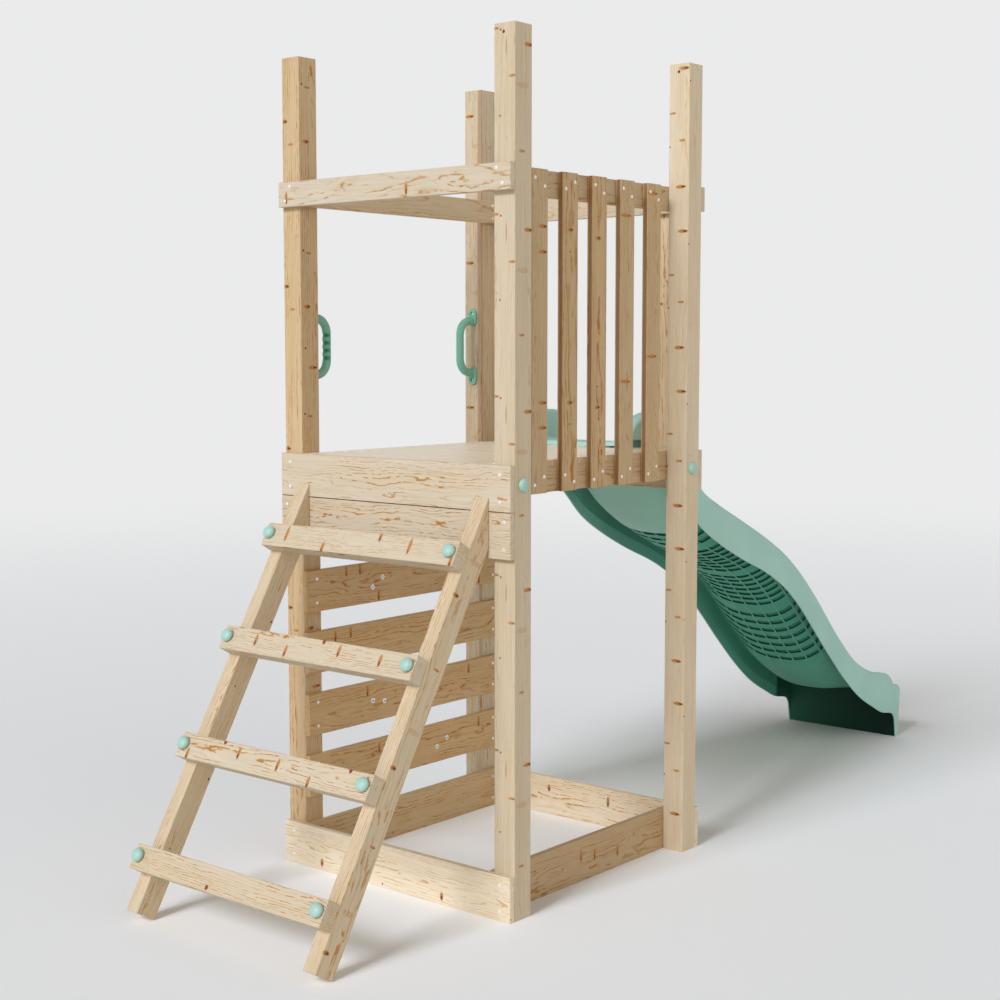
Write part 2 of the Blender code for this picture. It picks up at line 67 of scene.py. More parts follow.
# Timber tones, linear
PALE = (0.60, 0.505, 0.38)
HEART = (0.55, 0.42, 0.24)
LATE = (0.44, 0.285, 0.105)
RESIN = (0.41, 0.170, 0.012)
KNOT_HALO = (0.44, 0.160, 0.009)
KNOT_CORE = (0.085, 0.021, 0.003)
RED_CORE = (0.24, 0.022, 0.010)

# Plastic and metal tones, linear
MINT = (0.39, 0.62, 0.56)
MINT_GRIP = (0.20, 0.49, 0.37)
MINT_CAP = (0.36, 0.56, 0.485)
ZINC = (0.93, 0.93, 0.94)

# Lamps: name, azimuth, elevation, level, spread, colour
LIGHTS = (("key_light", 182.0, 33.0, 0.74, 20.0, (0.94, 0.99, 1.08)),
          ("front_fill", 262.0, 15.0, 0.18, 60.0, (1.0, 1.0, 1.0)))

# Places shared with the frame
LADDER_FACE = -0.9888
WALL_FACE = 0.3397
SLAT_FACE = -0.3760
LADDER_LEAN = 30.28
TURN_ALONG = {"x": (0.0, 0.0, 0.0), "y": (0.0, 0.0, 90.0), "z": (0.0, -90.0, 0.0),
              "rail": (0.0, LADDER_LEAN - 90.0, 0.0), "rung": (LADDER_LEAN, 0.0, 90.0)}
GRAIN = {
    "post": "z", "ladder_rail": "rail", "ladder_rung": "rung", "deck_board": "y", "deck_bearer": "x",
    "wall_board": "x", "fence_slat": "z", "guard_board": "z", "fascia": "y", "top_rail_ladder": "y",
    "top_rail_slide": "y", "top_rail": "x", "ground_board_ladder": "y", "ground_board_slide": "y",
    "ground_board": "x"}

# Timber thinner than BOARD is a board. Points nearer than MERGE are one point
BOARD = 0.02
MERGE = 0.000005
HALF = (0.5, 0.5, 0.5)
ACROSS = (0.0, 1.0, 1.0)

# Knots seen on the timbers' faces: they come again along the grain at one pitch. On the slats, 'edge'
# marks are painted shade down their side faces
KNOT_PITCH = 0.4625
KNOT_DEPTH = 0.006
KNOTS = {
    "post_ladder_fence": {"drilled": ((-0.9705, -0.3894, 2.2903),), "streak": ((-0.9705, -0.398, 1.7905),),
        "dash": ((-0.9705, -0.4171, 1.7169), (-0.9705, -0.363, 1.838), (-0.942, -0.4265, 1.532)),
        "red": ((-0.9705, -0.3776, 1.6209), (-0.9705, -0.3799, 1.8336)),
        "spike": ((-0.9157, -0.4265, 1.7986),), "smear": ((-0.94, -0.4265, 1.6957),)},
    "post_slide_fence": {"drilled": ((-0.1826, -0.3894, 2.2902),), "spike": ((-0.1826, -0.4, 1.5008),
        (-0.1826, -0.4078, 1.3736)), "dash": ((-0.1826, -0.37, 1.7111), (-0.1826, -0.404, 1.6326)),
        "red": ((-0.1826, -0.361, 1.616), (-0.1778, -0.4265, 1.7993))},
    "post_ladder_wall": {"knot": ((-0.9705, 0.4165, 1.6741), (-0.9445, 0.358, 1.6169)),
        "dash": ((-0.9705, 0.393, 1.6091), (-0.939, 0.358, 1.7677)), "pin": ((-0.9585, 0.358, 1.7748),
        (-0.9536, 0.358, 1.499)), "spike": ((-0.9254, 0.358, 1.4437),)},
    "post_slide_wall": {"band": ((-0.1826, 0.363, 1.6),), "spike": ((-0.1826, 0.406, 1.7709),),
        "smear": ((-0.1826, 0.375, 1.6753),)},
    "fascia_ladder_upper": {"joint": ((-0.9888, 0.0, 1.079),)},
    "fascia_ladder_lower": {"joint": ((-0.9888, 0.0, 1.0787),)},
    "top_rail_ladder": {"spike": ((-0.9888, -0.069, 1.9207),)},
    "fence_slat_1": {"spike": ((-0.7924, -0.376, 1.8172), (-0.7924, -0.376, 1.7509))},
    "fence_slat_2": {"edge": ((-0.7069, -0.368, 1.54),), "knot": ((-0.674, -0.376, 1.8148),),
        "red": ((-0.6745, -0.376, 1.757),)},
    "fence_slat_3": {"edge": ((-0.5758, -0.368, 1.54),), "knot": ((-0.5485, -0.376, 1.7987),),
        "red": ((-0.5499, -0.376, 1.8559),)},
    "fence_slat_4": {"edge": ((-0.4447, -0.368, 1.54),), "long": ((-0.419, -0.376, 1.868),),
        "red": ((-0.448, -0.376, 1.682),)},
    "fence_slat_5": {"edge": ((-0.3136, -0.368, 1.54),), "long": ((-0.2879, -0.376, 1.938),),
        "red": ((-0.32, -0.376, 1.75),)},
    "ladder_rung_1": {"blood": ((-1.603, 0.0526, 0.1534),)},
    "ladder_rung_2": {"blood": ((-1.4184, 0.1858, 0.4697),), "spike": ((-1.4286, 0.1233, 0.4521),
        (-1.4323, -0.028, 0.4459), (-1.445, -0.1508, 0.4241))},
    "ladder_rung_3": {"blood": ((-1.2614, -0.0253, 0.7384),), "spike": ((-1.2709, -0.0882, 0.7222),
        (-1.2742, 0.2245, 0.7165), (-1.2826, 0.1017, 0.7022))},
    "ladder_rung_4": {"spike": ((-1.1053, -0.0816, 1.0058), (-1.1307, 0.1154, 0.9624)),
        "long": ((-1.1153, -0.194, 0.9887),)},
    "ladder_rail_fence": {"knot": ((-1.3511, -0.3555, 0.4761),), "smear": ((-1.277, -0.3555, 0.551),),
        "dash": ((-1.4257, -0.3555, 0.2946),)},
    "ladder_rail_wall": {"pin": ((-1.1396, 0.3115, 0.7391),), "red": ((-1.2751, 0.3115, 0.5787),)},
    "ground_board_ladder": {"knot": ((-0.9888, 0.2754, 0.023),), "red": ((-0.9888, 0.0341, 0.0111),)},
    "ground_board_fence": {"spike": ((-0.5904, -0.3577, 0.0735), (-0.5261, -0.3577, 0.0639),
        (-0.4152, -0.3577, 0.0493)), "red": ((-0.7979, -0.3577, 0.0803), (-0.2132, -0.3577, 0.0566))},
    "ground_board_slide": {"knot": ((-0.1138, 0.1317, 0.0858),), "spike": ((-0.1138, -0.1036, 0.0817),)},
    "wall_board_4": {"spike": ((-0.8167, 0.3397, 0.8456), (-0.7596, 0.3397, 0.8472),
        (-0.6804, 0.3397, 0.7596))},
    "wall_board_3": {"spike": ((-0.8634, 0.3397, 0.6585), (-0.8002, 0.3397, 0.6614))},
    "wall_board_2": {"spike": ((-0.7317, 0.3397, 0.4748),), "red": ((-0.61, 0.3397, 0.455),)},
    "wall_board_1": {"spike": ((-0.6827, 0.3397, 0.293),), "red": ((-0.3815, 0.3397, 0.2203),)},
}

# Each kind of knot: half length along the grain, half width across it, core's size and offset as
# shares of these, whether its core is dark, red or missing, and how strong it is
KNOT_KINDS = {
    "drilled": (0.0042, 0.0042, 1.0, 0.0, "dark", 1.0),
    "joint": (0.9, 0.0011, 1.0, 0.0, "dark", 0.9),
    "pin": (0.0034, 0.0034, 0.9, 0.0, "dark", 1.0),
    "red": (0.003, 0.0032, 0.8, 0.0, "red", 0.9),
    "blood": (0.0055, 0.007, 1.0, 0.0, "red", 1.0),
    "knot": (0.006, 0.0115, 0.52, 0.32, "dark", 1.0),
    "spike": (0.0054, 0.017, 0.44, 0.5, "dark", 1.0),
    "long": (0.0052, 0.0235, 0.28, 0.68, "dark", 1.0),
    "dash": (0.0038, 0.011, 0.28, 0.42, "dark", 0.85),
    "smear": (0.0075, 0.023, 0.0, 0.0, "none", 0.32),
    "streak": (0.025, 0.002, 0.0, 0.0, "none", 0.8),
    "band": (1.2, 0.012, 1.0, 0.0, "dark", 0.3),
    # Painted shade down a slat's side face, where the slat before it shades it
    "edge": (1.2, 0.0075, 1.0, 0.0, "dark", 0.46),
}

# Kinds that don't come again along the grain
SINGLE = ("drilled", "joint", "band", "edge")

# Tone that the deck boards' end faces are multiplied by: their darker end grain and painted shade
END_GRAIN_AND_SHADE = (0.60, 0.47, 0.33)

# Figure of each timber: share of broken resin lines, share of plain latewood, width of a ring, warmth,
# paleness. Warmth and paleness are partly each timber's own tone and partly painted light and shade:
# timbers that stand in shade are painted darker and more golden, the ground boards on the ladder and
# slide sides paler as painted light, and the deck boards paler as a painted sheen on their tops
PLAIN = (0.3, 0.4, 0.0042, 1.0, 1.0)
FIGURES = {
    "post_ladder_wall": (1.0, 0.5, 0.006, 1.85, 1.0), "post_slide_wall": (0.9, 0.4, 0.007, 1.15, 1.02),
    "post_ladder_fence": (0.24, 0.26, 0.004, 1.12, 0.99),
    "post_slide_fence": (0.22, 0.26, 0.004, 1.1, 1.12), "fascia": (1.0, 0.3, 0.0046, 0.95, 1.03),
    "top_rail_ladder": (0.9, 0.26, 0.0062, 0.95, 1.02), "ladder_rung_1": (1.0, 0.45, 0.0046, 1.15, 1.03),
    "ladder_rung": (1.0, 0.3, 0.0046, 1.0, 1.03), "ladder_rail": (0.8, 0.4, 0.0044, 1.3, 1.06),
    "fence_slat_2": (1.0, 0.85, 0.007, 2.2, 0.9), "fence_slat_3": (1.0, 0.85, 0.0064, 2.2, 0.9),
    "fence_slat": (0.4, 0.45, 0.0042, 2.0, 0.88), "wall_board": (1.0, 0.6, 0.0048, 2.35, 0.97),
    "ground_board_slide": (1.0, 0.35, 0.006, 0.95, 1.32),
    "ground_board_fence": (0.8, 0.5, 0.005, 2.1, 0.82),
    "ground_board_wall": (0.8, 0.5, 0.007, 2.0, 0.96), "ground_board": (0.6, 0.32, 0.0052, 0.9, 1.3),
    "deck_board": (0.3, 0.3, 0.0048, 0.8, 1.5), "deck_bearer": (0.9, 0.6, 0.0056, 2.0, 0.88),
    "top_rail_fence": (0.8, 0.5, 0.0056, 1.8, 0.86), "top_rail_wall": (0.7, 0.45, 0.0056, 1.4, 1.05),
    "guard_board": (1.0, 0.45, 0.0054, 1.35, 1.14)}


# Shared building blocks

def only(piece):
    """Makes a piece the one selected, active object."""
    bpy.ops.object.select_all(action="DESELECT")
    piece.select_set(True)
    bpy.context.view_layer.objects.active = piece


def named(name):
    piece = bpy.context.active_object
    piece.name = piece.data.name = name
    return piece


def begin(name):
    """Names a new primitive, puts its place into its mesh and opens it for editing, all selected."""
    piece = named(name)
    bpy.ops.object.transform_apply(location=True, rotation=True, scale=True)
    bpy.ops.object.mode_set(mode="EDIT")
    bpy.ops.mesh.select_all(action="SELECT")
    return piece


@contextmanager
def editing(piece):
    """The mesh of a piece in edit mode, shown again when the changes to it are done."""
    yield bmesh.from_edit_mesh(piece.data)
    bmesh.update_edit_mesh(piece.data)


def pick(piece, kind, test):
    """In edit mode, selects the faces or edges that pass a test and drops the rest."""
    bpy.ops.mesh.select_all(action="DESELECT")
    bpy.ops.mesh.select_mode(type=kind)
    with editing(piece) as bm:
        for part in bm.faces if kind == "FACE" else bm.edges:
            part.select_set(test(part))


def pick_top(piece):
    pick(piece, "FACE", lambda face: face.normal.z > 0.99)


def extrude(*step):
    bpy.ops.mesh.extrude_region_move(TRANSFORM_OT_translate={"value": step})


def close_shell(gap):
    """Merges points nearer than a gap and turns every face outward."""
    bpy.ops.mesh.select_all(action="SELECT")
    bpy.ops.mesh.remove_doubles(threshold=gap)
    bpy.ops.mesh.normals_make_consistent(inside=False)


def close_base(piece, drop, taper, degrees):
    """Ends a dome whose rim is selected with a short tapered base, and finishes it."""
    extrude(*drop)
    bpy.ops.transform.resize(value=taper)
    bpy.ops.mesh.edge_face_add()
    close_shell(MERGE)
    return settle(piece, degrees)


def settle(piece, degrees):
    """Leaves edit mode, puts the place into the mesh and shades it smooth up to an angle."""
    if bpy.context.mode != "OBJECT":
        bpy.ops.object.mode_set(mode="OBJECT")
    only(piece)
    bpy.ops.object.transform_apply(location=True, rotation=True, scale=True)
    bpy.ops.object.shade_smooth_by_angle(angle=radians(degrees))
    return piece


def combine(piece, tool, operation="DIFFERENCE"):
    """Cuts a tool out of a piece, or joins it on, and deletes the tool."""
    only(piece)
    change = piece.modifiers.new("combine", "BOOLEAN")
    change.operation = operation
    change.solver = "EXACT"
    change.object = tool
    bpy.ops.object.modifier_apply(modifier=change.name)
    bpy.data.objects.remove(tool)


def paint_shade(piece, level):
    """Writes a level of painted shade to the selected faces' points, which the finish darkens them by."""
    with editing(piece) as bm:
        layers = bm.verts.layers.float
        painted_shade = layers["painted_shade"] if "painted_shade" in layers else layers.new("painted_shade")
        for face in bm.faces:
            for vert in face.verts if face.select else ():
                vert[painted_shade] = level


def dress(piece, material, replaces=()):
    """Gives a finished piece its material and its place on the frame."""
    piece.data.materials.clear()
    piece.data.materials.append(material)
    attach(piece, "root")
    if replaces:
        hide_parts(*replaces)


def facing(place, direction, turn=0.0):
    """Matrix that seats a piece modelled along +Z at a place, looking in a direction."""
    quat = Vector(direction).to_track_quat("Z", "Y")
    return Matrix.Translation(place) @ quat.to_matrix().to_4x4() @ Matrix.Rotation(turn, 4, "Z")


def repeat(master, name, matrices):
    """Copies a master to every place, each copy with its own mesh, joined as one piece."""
    copies = []
    for matrix in matrices:
        copy = master.copy()
        copy.data = master.data.copy()
        copy.data.transform(matrix)
        bpy.context.scene.collection.objects.link(copy)
        copies.append(copy)
    only(copies[0])
    for copy in copies:
        copy.select_set(True)
    if len(copies) > 1:
        bpy.ops.object.join()
    return named(name)


# Node trees

class Wire:
    """A node's output, whose sums and products with other values are nodes of its tree."""

    def __init__(self, socket):
        self.socket, self.tree = socket, socket.id_data

    def __add__(self, other):
        return reckon("ADD", self, other)

    def __sub__(self, other):
        return reckon("SUBTRACT", self, other)

    def __mul__(self, other):
        return reckon("MULTIPLY", self, other)

    def __truediv__(self, other):
        return reckon("DIVIDE", self, other)

    def ramp(self, low, high, to_low=0.0, to_high=1.0):
        """Eases between two levels as the value goes from low to high."""
        feeds = {"Value": self, "From Min": low, "From Max": high, "To Min": to_low, "To Max": to_high}
        return node(self.tree, "MapRange", feeds, interpolation_type="SMOOTHSTEP")["Result"]


class Wires:
    """A node's outputs, looked up by name or place."""

    def __init__(self, made):
        self.made = made

    def __getitem__(self, key):
        return Wire(self.made.outputs[key])


def fill(made, feeds):
    """Links a node's inputs to wires, or sets them to values."""
    for key, value in feeds.items():
        if isinstance(value, Wire):
            value.tree.links.new(value.socket, made.inputs[key])
        else:
            made.inputs[key].default_value = value


def node(tree, kind, feeds, **settings):
    """Adds a shader node, sets its options, fills its inputs and gives its outputs."""
    made = tree.nodes.new("ShaderNode" + kind)
    for key, value in settings.items():
        setattr(made, key, value)
    fill(made, feeds)
    return Wires(made)


def reckon(operation, *values):
    """A maths node, or a vector one where any value is a vector or a colour."""
    tree = next(value.tree for value in values if isinstance(value, Wire))
    wide = [value.socket.type != "VALUE" if isinstance(value, Wire) else isinstance(value, tuple)
            for value in values]
    if not any(wide):
        return node(tree, "Math", dict(enumerate(values)), operation=operation)["Value"]
    if operation == "MULTIPLY" and not all(wide):
        return node(tree, "VectorMath", {0: values[0], "Scale": values[1]}, operation="SCALE")["Vector"]
    made = node(tree, "VectorMath", dict(enumerate(values)), operation=operation)
    return made["Value" if operation == "LENGTH" else "Vector"]


def larger(first, second):
    return reckon("MAXIMUM", first, second)


def blend(share, first, second, kind="MIX"):
    """Mixes two colours by a share."""
    first, second = (tone if isinstance(tone, Wire) else (*tone, 1.0) for tone in (first, second))
    return node(share.tree, "Mix", {0: share, 6: first, 7: second}, data_type="RGBA", blend_type=kind)[2]


def noise(place, detail=2.0, output="Fac"):
    return node(place.tree, "TexNoise", {"Vector": place, "Scale": 1.0, "Detail": detail})[output]


def split(place):
    return node(place.tree, "SeparateXYZ", {"Vector": place})


def joined(**parts):
    return node(parts["X"].tree, "CombineXYZ", parts)["Vector"]


def object_place(tree):
    return node(tree, "TexCoord", {})["Object"]


def seated(tree, middle, turn):
    """Object coordinates in metres from a middle, turned so that X runs along the grain."""
    feeds = {"Vector": object_place(tree), "Location": middle, "Rotation": turn.to_euler()}
    return node(tree, "Mapping", feeds, vector_type="TEXTURE")["Vector"]


def new_group(name, colours, vectors, values, body):
    """A shader node group with the named inputs, whose body gives its outputs from them."""
    tree = bpy.data.node_groups.new(name, "ShaderNodeTree")
    for kind, labels in (("Color", colours), ("Vector", vectors), ("Float", values)):
        for label in labels:
            made = tree.interface.new_socket(label, in_out="INPUT", socket_type="NodeSocket" + kind)
            if kind == "Color":
                made.default_value = (*colours[label], 1.0)
    outputs = body(Wires(tree.nodes.new("NodeGroupInput")))
    for label in outputs:
        kind = "Color" if label == "Color" else "Float"
        tree.interface.new_socket(label, in_out="OUTPUT", socket_type="NodeSocket" + kind)
    fill(tree.nodes.new("NodeGroupOutput"), outputs)
    return tree


def ring_figure(get):
    """Growth rings round the log's heart, along X: plain lines, broken resin lines, tone and fibre."""
    place = get["Vector"]
    warp = noise(place * (4.2, 20.0, 20.0), output="Color") - HALF
    ripple = noise(place * (34.0, 70.0, 70.0), output="Color") - HALF
    bent = place + warp * get["Waviness"] + ripple * 0.0036
    rings = reckon("LENGTH", bent * ACROSS) / get["Ring Width"] + get["Swell"]
    part, year = reckon("FRACT", rings), reckon("FLOOR", rings)
    weight = node(place.tree, "TexWhiteNoise", {"W": year}, noise_dimensions="1D")["Value"]
    fall = part.ramp(0.90, 1.0, 1.0, 0.0)
    fading = noise(place * (7.0, 42.0, 42.0)).ramp(0.36, 0.60, 0.22, 1.15)
    apart = node(place.tree, "CombineXYZ", {"Y": year * 3.7})["Vector"]
    broken = noise(place * (36.0, 90.0, 90.0) + apart, 1.0).ramp(0.45, 0.54)
    patches = noise(place * (4.5, 26.0, 26.0)).ramp(0.35, 0.50)
    resin = part.ramp(0.66, 0.80) * fall * broken * patches
    streaks = noise(place * (5.0, 330.0, 330.0), 3.0) * 0.65
    return {
        "Latewood": part.ramp(0.30, 0.82) * fall * (weight.ramp(0.0, 1.0, 0.3, 1.0) * fading),
        "Resin": resin * weight.ramp(0.1, 0.6, 0.3, 1.0),
        "Tone": noise(place * (1.8, 26.0, 26.0), 3.0).ramp(0.3, 0.7),
        "Fibre": streaks + noise(place * (30.0, 1500.0, 1500.0)) * 0.35}


def spoke_knots(get):
    """Knots that run out from the heart as spokes: round on one face, dashes across the next."""
    place, spacing = get["Vector"], get["Spacing"]
    spot = split(place)
    radius = reckon("LENGTH", place * ACROSS)
    angle = reckon("ARCTAN2", spot["Z"], spot["Y"])
    per_turn = get["Sectors"] / (2 * pi)
    cell = joined(X=spot["X"] / spacing, Y=angle * per_turn)
    nearest = node(place.tree, "TexVoronoi", {"Vector": cell, "Scale": 1.0}, voronoi_dimensions="2D")
    centre = split(nearest["Position"])
    chance = node(place.tree, "SeparateColor", {"Color": nearest["Color"]})
    tilt = radius * chance["Green"].ramp(0.0, 1.0, -0.14, 0.14)
    across = radius * reckon("SINE", angle - centre["Y"] / per_turn)
    offset = joined(X=spot["X"] - centre["X"] * spacing + tilt, Y=across)
    rate = reckon("LENGTH", offset) / (get["Size"] * chance["Red"].ramp(0.0, 1.0, 0.3, 1.1))
    inside = radius - chance["Blue"].ramp(0.0, 1.0, 0.004, 0.060)
    reach = inside.ramp(0.0, 0.004) * inside.ramp(0.016, 0.026, 1.0, 0.0)
    return {"Core": rate.ramp(0.5, 0.95, 1.0, 0.0) * (inside.ramp(0.006, 0.012) * reach),
            "Halo": rate.ramp(0.8, 1.9, 1.0, 0.0) * reach}


def branch_knot(get):
    """One oval knot of a given reach about a place, its core off to one side, a halo round it."""
    place, reach, strength = get["Vector"], get["Reach"], get["Strength"]
    ragged = (noise(place * 420.0) - 0.5) * 0.7
    whole = reckon("LENGTH", (place - get["Place"]) / reach) + ragged
    middle = reckon("LENGTH", (place - get["Core Place"]) / reach) / get["Core Size"] + ragged
    return {"Core": larger(middle.ramp(0.75, 1.15, 1.0, 0.0) * strength, get["Core Before"]),
            "Halo": larger(whole.ramp(0.75, 1.25, 1.0, 0.0) * strength, get["Halo Before"])}


def spruce_colour(get):
    """Planed spruce: pale wood, warm zones, latewood, resin lines and knots."""
    fibre, core, red = get["Fibre"], get["Core"], get["Red Core"]
    warm = blend(get["Tone"] * 0.34, get["Pale"], get["Heart"])
    lined = blend(get["Latewood"] * get["Lined"], warm, get["Late"])
    marked = blend(get["Resin"] * get["Broken"], lined, get["Resin Colour"])
    ringed = blend(get["Halo"] * 0.92, marked * fibre.ramp(0.25, 0.75, 0.90, 1.07), get["Halo Colour"])
    knot = larger(core, red)
    return {
        "Color": blend(red, blend(core, ringed, get["Knot"]), get["Red"]),
        "Roughness": fibre.ramp(0.2, 0.8, 0.50, 0.62) - knot * 0.14,
        "Height": fibre + get["Latewood"] * 0.5 - knot}


def moulded_skin(get):
    """Fine grain and faint cloudiness of a moulded surface, with painted shade that dims it and deepens its
    colour.
    """
    place, colour, painted_shade = get["Vector"], get["Colour"], get["Painted Shade"]
    cloud = noise(place * 5.0, 3.0)
    scuff = noise(place * (6.0, 120.0, 6.0), 4.0)
    # Painted shade: the colour grows more saturated and darker as the shade level rises
    shade_depth = painted_shade * 2.85
    shade_saturated = node(place.tree, "Gamma", {"Color": colour, "Gamma": shade_depth + 1.0})["Color"]
    green = node(place.tree, "SeparateColor", {"Color": colour})["Green"]
    shade_dimming = painted_shade.ramp(0.10, 0.40, 1.0, 0.62) * painted_shade.ramp(0.82, 1.0, 1.0, 0.05)
    change = scuff.ramp(0.4, 0.8, 0.0, 0.08) + cloud.ramp(0.3, 0.7, -0.03, 0.04)
    return {
        "Color": shade_saturated * (reckon("POWER", green, shade_depth * -1.0) * shade_dimming) * cloud.ramp(0.3, 0.7, 0.96, 1.03),
        "Roughness": get["Gloss"] + change,
        "Height": noise(place * get["Grain"])}


RING_FIGURE = new_group("ring_figure", {}, ["Vector"], ["Ring Width", "Waviness", "Swell"], ring_figure)
SPOKE_KNOTS = new_group("spoke_knots", {}, ["Vector"], ["Spacing", "Sectors", "Size"], spoke_knots)
BRANCH_KNOT = new_group("branch_knot", {}, ["Vector", "Place", "Reach", "Core Place"],
                        ["Core Size", "Strength", "Core Before", "Halo Before"], branch_knot)
SPRUCE_COLOUR = new_group(
    "spruce_colour", {"Pale": PALE, "Heart": HEART, "Late": LATE, "Resin Colour": RESIN,
                      "Halo Colour": KNOT_HALO, "Knot": KNOT_CORE, "Red": RED_CORE}, [],
    ["Latewood", "Resin", "Tone", "Fibre", "Core", "Red Core", "Halo", "Lined", "Broken"], spruce_colour)
MOULDED_SKIN = new_group("moulded_skin", {"Colour": MINT}, ["Vector"], ["Painted Shade", "Grain", "Gloss"],
                         moulded_skin)


# Materials

def new_material(name):
    material = bpy.data.materials.new(name)
    material.use_nodes = True
    return material, material.node_tree, material.node_tree.nodes["Principled BSDF"]


def bump(height, strength, distance):
    feeds = {"Height": height, "Strength": strength, "Distance": distance}
    return node(height.tree, "Bump", feeds)["Normal"]


def heart_offset(size, draw):
    """Where the log's heart lies from the middle of a timber of this size."""
    heart = Vector((0.0, 0.0, 0.0))
    thin, wide, _ = sorted(range(3), key=lambda axis: size[axis])
    if size[thin] < BOARD:
        heart[thin] = draw.choice((-1, 1)) * draw.uniform(0.030, 0.075)
        heart[wide] = draw.uniform(-0.03, 0.03)
    else:
        for axis in (thin, wide):
            heart[axis] = draw.choice((-1, 1)) * draw.uniform(0.018, 0.045)
    return heart


def knot_window(marks):
    """Start of the length of grain, one pitch long, whose ends are farthest from any knot in it."""
    if not marks:
        return -KNOT_PITCH / 2
    phases = sorted(mark % KNOT_PITCH for mark in marks)
    after = phases[1:] + [phases[0] + KNOT_PITCH]
    width, before = max((end - start, start) for start, end in zip(phases, after))
    return before + width / 2


def seen_knots(tree, name, low, turn, middle):
    """Knots of the timber's table: dark cores, red cores and orange halos, with the 'edge' marks' painted
    shade.
    """
    marks = []
    for kind, places in KNOTS.get(name, {}).items():
        along, wide, core, shift, tone, strength = KNOT_KINDS[kind]
        for place in places:
            reach, aside = Vector((along, KNOT_DEPTH, wide)), Vector((0.0, 0.0, -wide * shift))
            if name.startswith("post") and abs(place[0] - low.x) < 0.001:
                reach, aside = reach.xzy, aside.xzy
            spot = turn.transposed() @ (Vector(place) - middle)
            marks.append((kind in SINGLE, spot, reach, aside, core, tone, strength))
    straight = seated(tree, middle, turn)
    start = knot_window([spot.x for once, spot, *_ in marks if not once])
    axes = split(straight)
    again = joined(X=reckon("WRAP", axes["X"], start + KNOT_PITCH, start), Y=axes["Y"], Z=axes["Z"])
    cores, halo = {"dark": 0.0, "red": 0.0}, 0.0
    for once, spot, reach, aside, core, tone, strength in marks:
        if not once:
            spot.x = (spot.x - start) % KNOT_PITCH + start
        knot = node(tree, "Group", {
            "Vector": straight if once else again, "Place": spot, "Reach": reach,
            "Core Place": spot + aside, "Core Size": max(core, 0.02), "Strength": strength,
            "Core Before": cores.get(tone, 0.0), "Halo Before": halo}, node_tree=BRANCH_KNOT)
        if tone in cores:
            cores[tone] = knot["Core"]
        halo = knot["Halo"]
    return cores, halo


def toned(colour, warmth_and_shade, paleness_and_light):
    """A wood colour made more golden by a warmth over 1, or greyer by one under 1; warmth and paleness
    carry painted light and shade as well as the wood's own tone.
    """
    tones = zip(colour, PALE)
    return (*(tone * paleness_and_light * (share / PALE[0]) ** (warmth_and_shade - 1.0) for tone, share in tones), 1.0)


def spruce(name, low, high, along, seed):
    """A board's own spruce: low and high are its corners, along names the way of its grain."""
    material, tree, shader = new_material("spruce_" + name)
    draw = random.Random(seed)
    broken, lined, ring, warmth_and_shade, pale = next(
        (FIGURES[key] for key in FIGURES if name.startswith(key)), PLAIN)
    middle = (low + high) / 2
    turn = Euler([radians(angle) for angle in TURN_ALONG[along]]).to_matrix()
    lean = Euler((0.0, *(radians(draw.uniform(-1.8, 1.8)) for _ in "yz"))).to_matrix()
    seat = seated(tree, middle + heart_offset(high - low, draw), turn @ lean)
    known, deck = name in KNOTS, name.startswith("deck_board")
    spokes = node(tree, "Group", {
        "Vector": seat, "Spacing": 0.15 * draw.uniform(0.9, 1.2) * (1.9 if known else 1.0),
        "Sectors": float(draw.choice((3, 4, 5))), "Size": 0.0040}, node_tree=SPOKE_KNOTS)
    cores, halo = seen_knots(tree, name, low, turn, middle)
    if known:
        core, halo = cores["dark"], larger(halo, spokes["Halo"] * 0.35)
    else:
        core, halo = spokes["Core"], spokes["Halo"]
    figure = node(tree, "Group", {
        "Vector": seat, "Ring Width": ring * draw.uniform(0.9, 1.1),
        "Waviness": draw.uniform(0.014, 0.022) * (1.6 if min(high - low) < BOARD else 1.0),
        "Swell": halo * 0.8}, node_tree=RING_FIGURE)
    feeds = {label: figure[label] for label in ("Latewood", "Resin", "Tone", "Fibre")}
    colour = node(tree, "Group", {
        "Pale": toned(PALE, warmth_and_shade, pale * draw.uniform(0.98, 1.02)),
        "Heart": toned(HEART, warmth_and_shade, pale), "Late": toned(LATE, warmth_and_shade, pale),
        "Resin Colour": toned(RESIN, warmth_and_shade, pale), "Core": core, "Red Core": cores["red"],
        "Halo": halo, "Lined": lined, "Broken": broken, **feeds}, node_tree=SPRUCE_COLOUR)
    finish = colour["Color"]
    if deck:
        # Darker end faces: the end grain's own tone and painted shade
        end = reckon("ABSOLUTE", split(object_place(tree))["Y"]).ramp(high.y - 0.0012, high.y - 0.0004)
        finish = blend(end, finish, END_GRAIN_AND_SHADE, "MULTIPLY")
    fill(shader, {"Base Color": finish, "Roughness": colour["Roughness"] + (-0.16 if deck else 0.0),
                  "Normal": bump(colour["Height"], 0.25, 0.0003)})
    return material


def moulded(name, colour, gloss, grain, depth, metallic=0.0, shine=0.40):
    """Moulded plastic, or plate, darkened by painted shade that the piece's own attribute gives."""
    material, tree, shader = new_material(name)
    painted_shade = node(tree, "Attribute", {}, attribute_name="painted_shade")["Fac"]
    skin = node(tree, "Group", {
        "Vector": object_place(tree), "Colour": (*colour, 1.0), "Painted Shade": painted_shade, "Grain": grain,
        "Gloss": gloss}, node_tree=MOULDED_SKIN)
    fill(shader, {"Base Color": skin["Color"], "Roughness": skin["Roughness"], "Metallic": metallic,
                  "Specular IOR Level": shine, "Normal": bump(skin["Height"], 0.15, depth)})
    return material


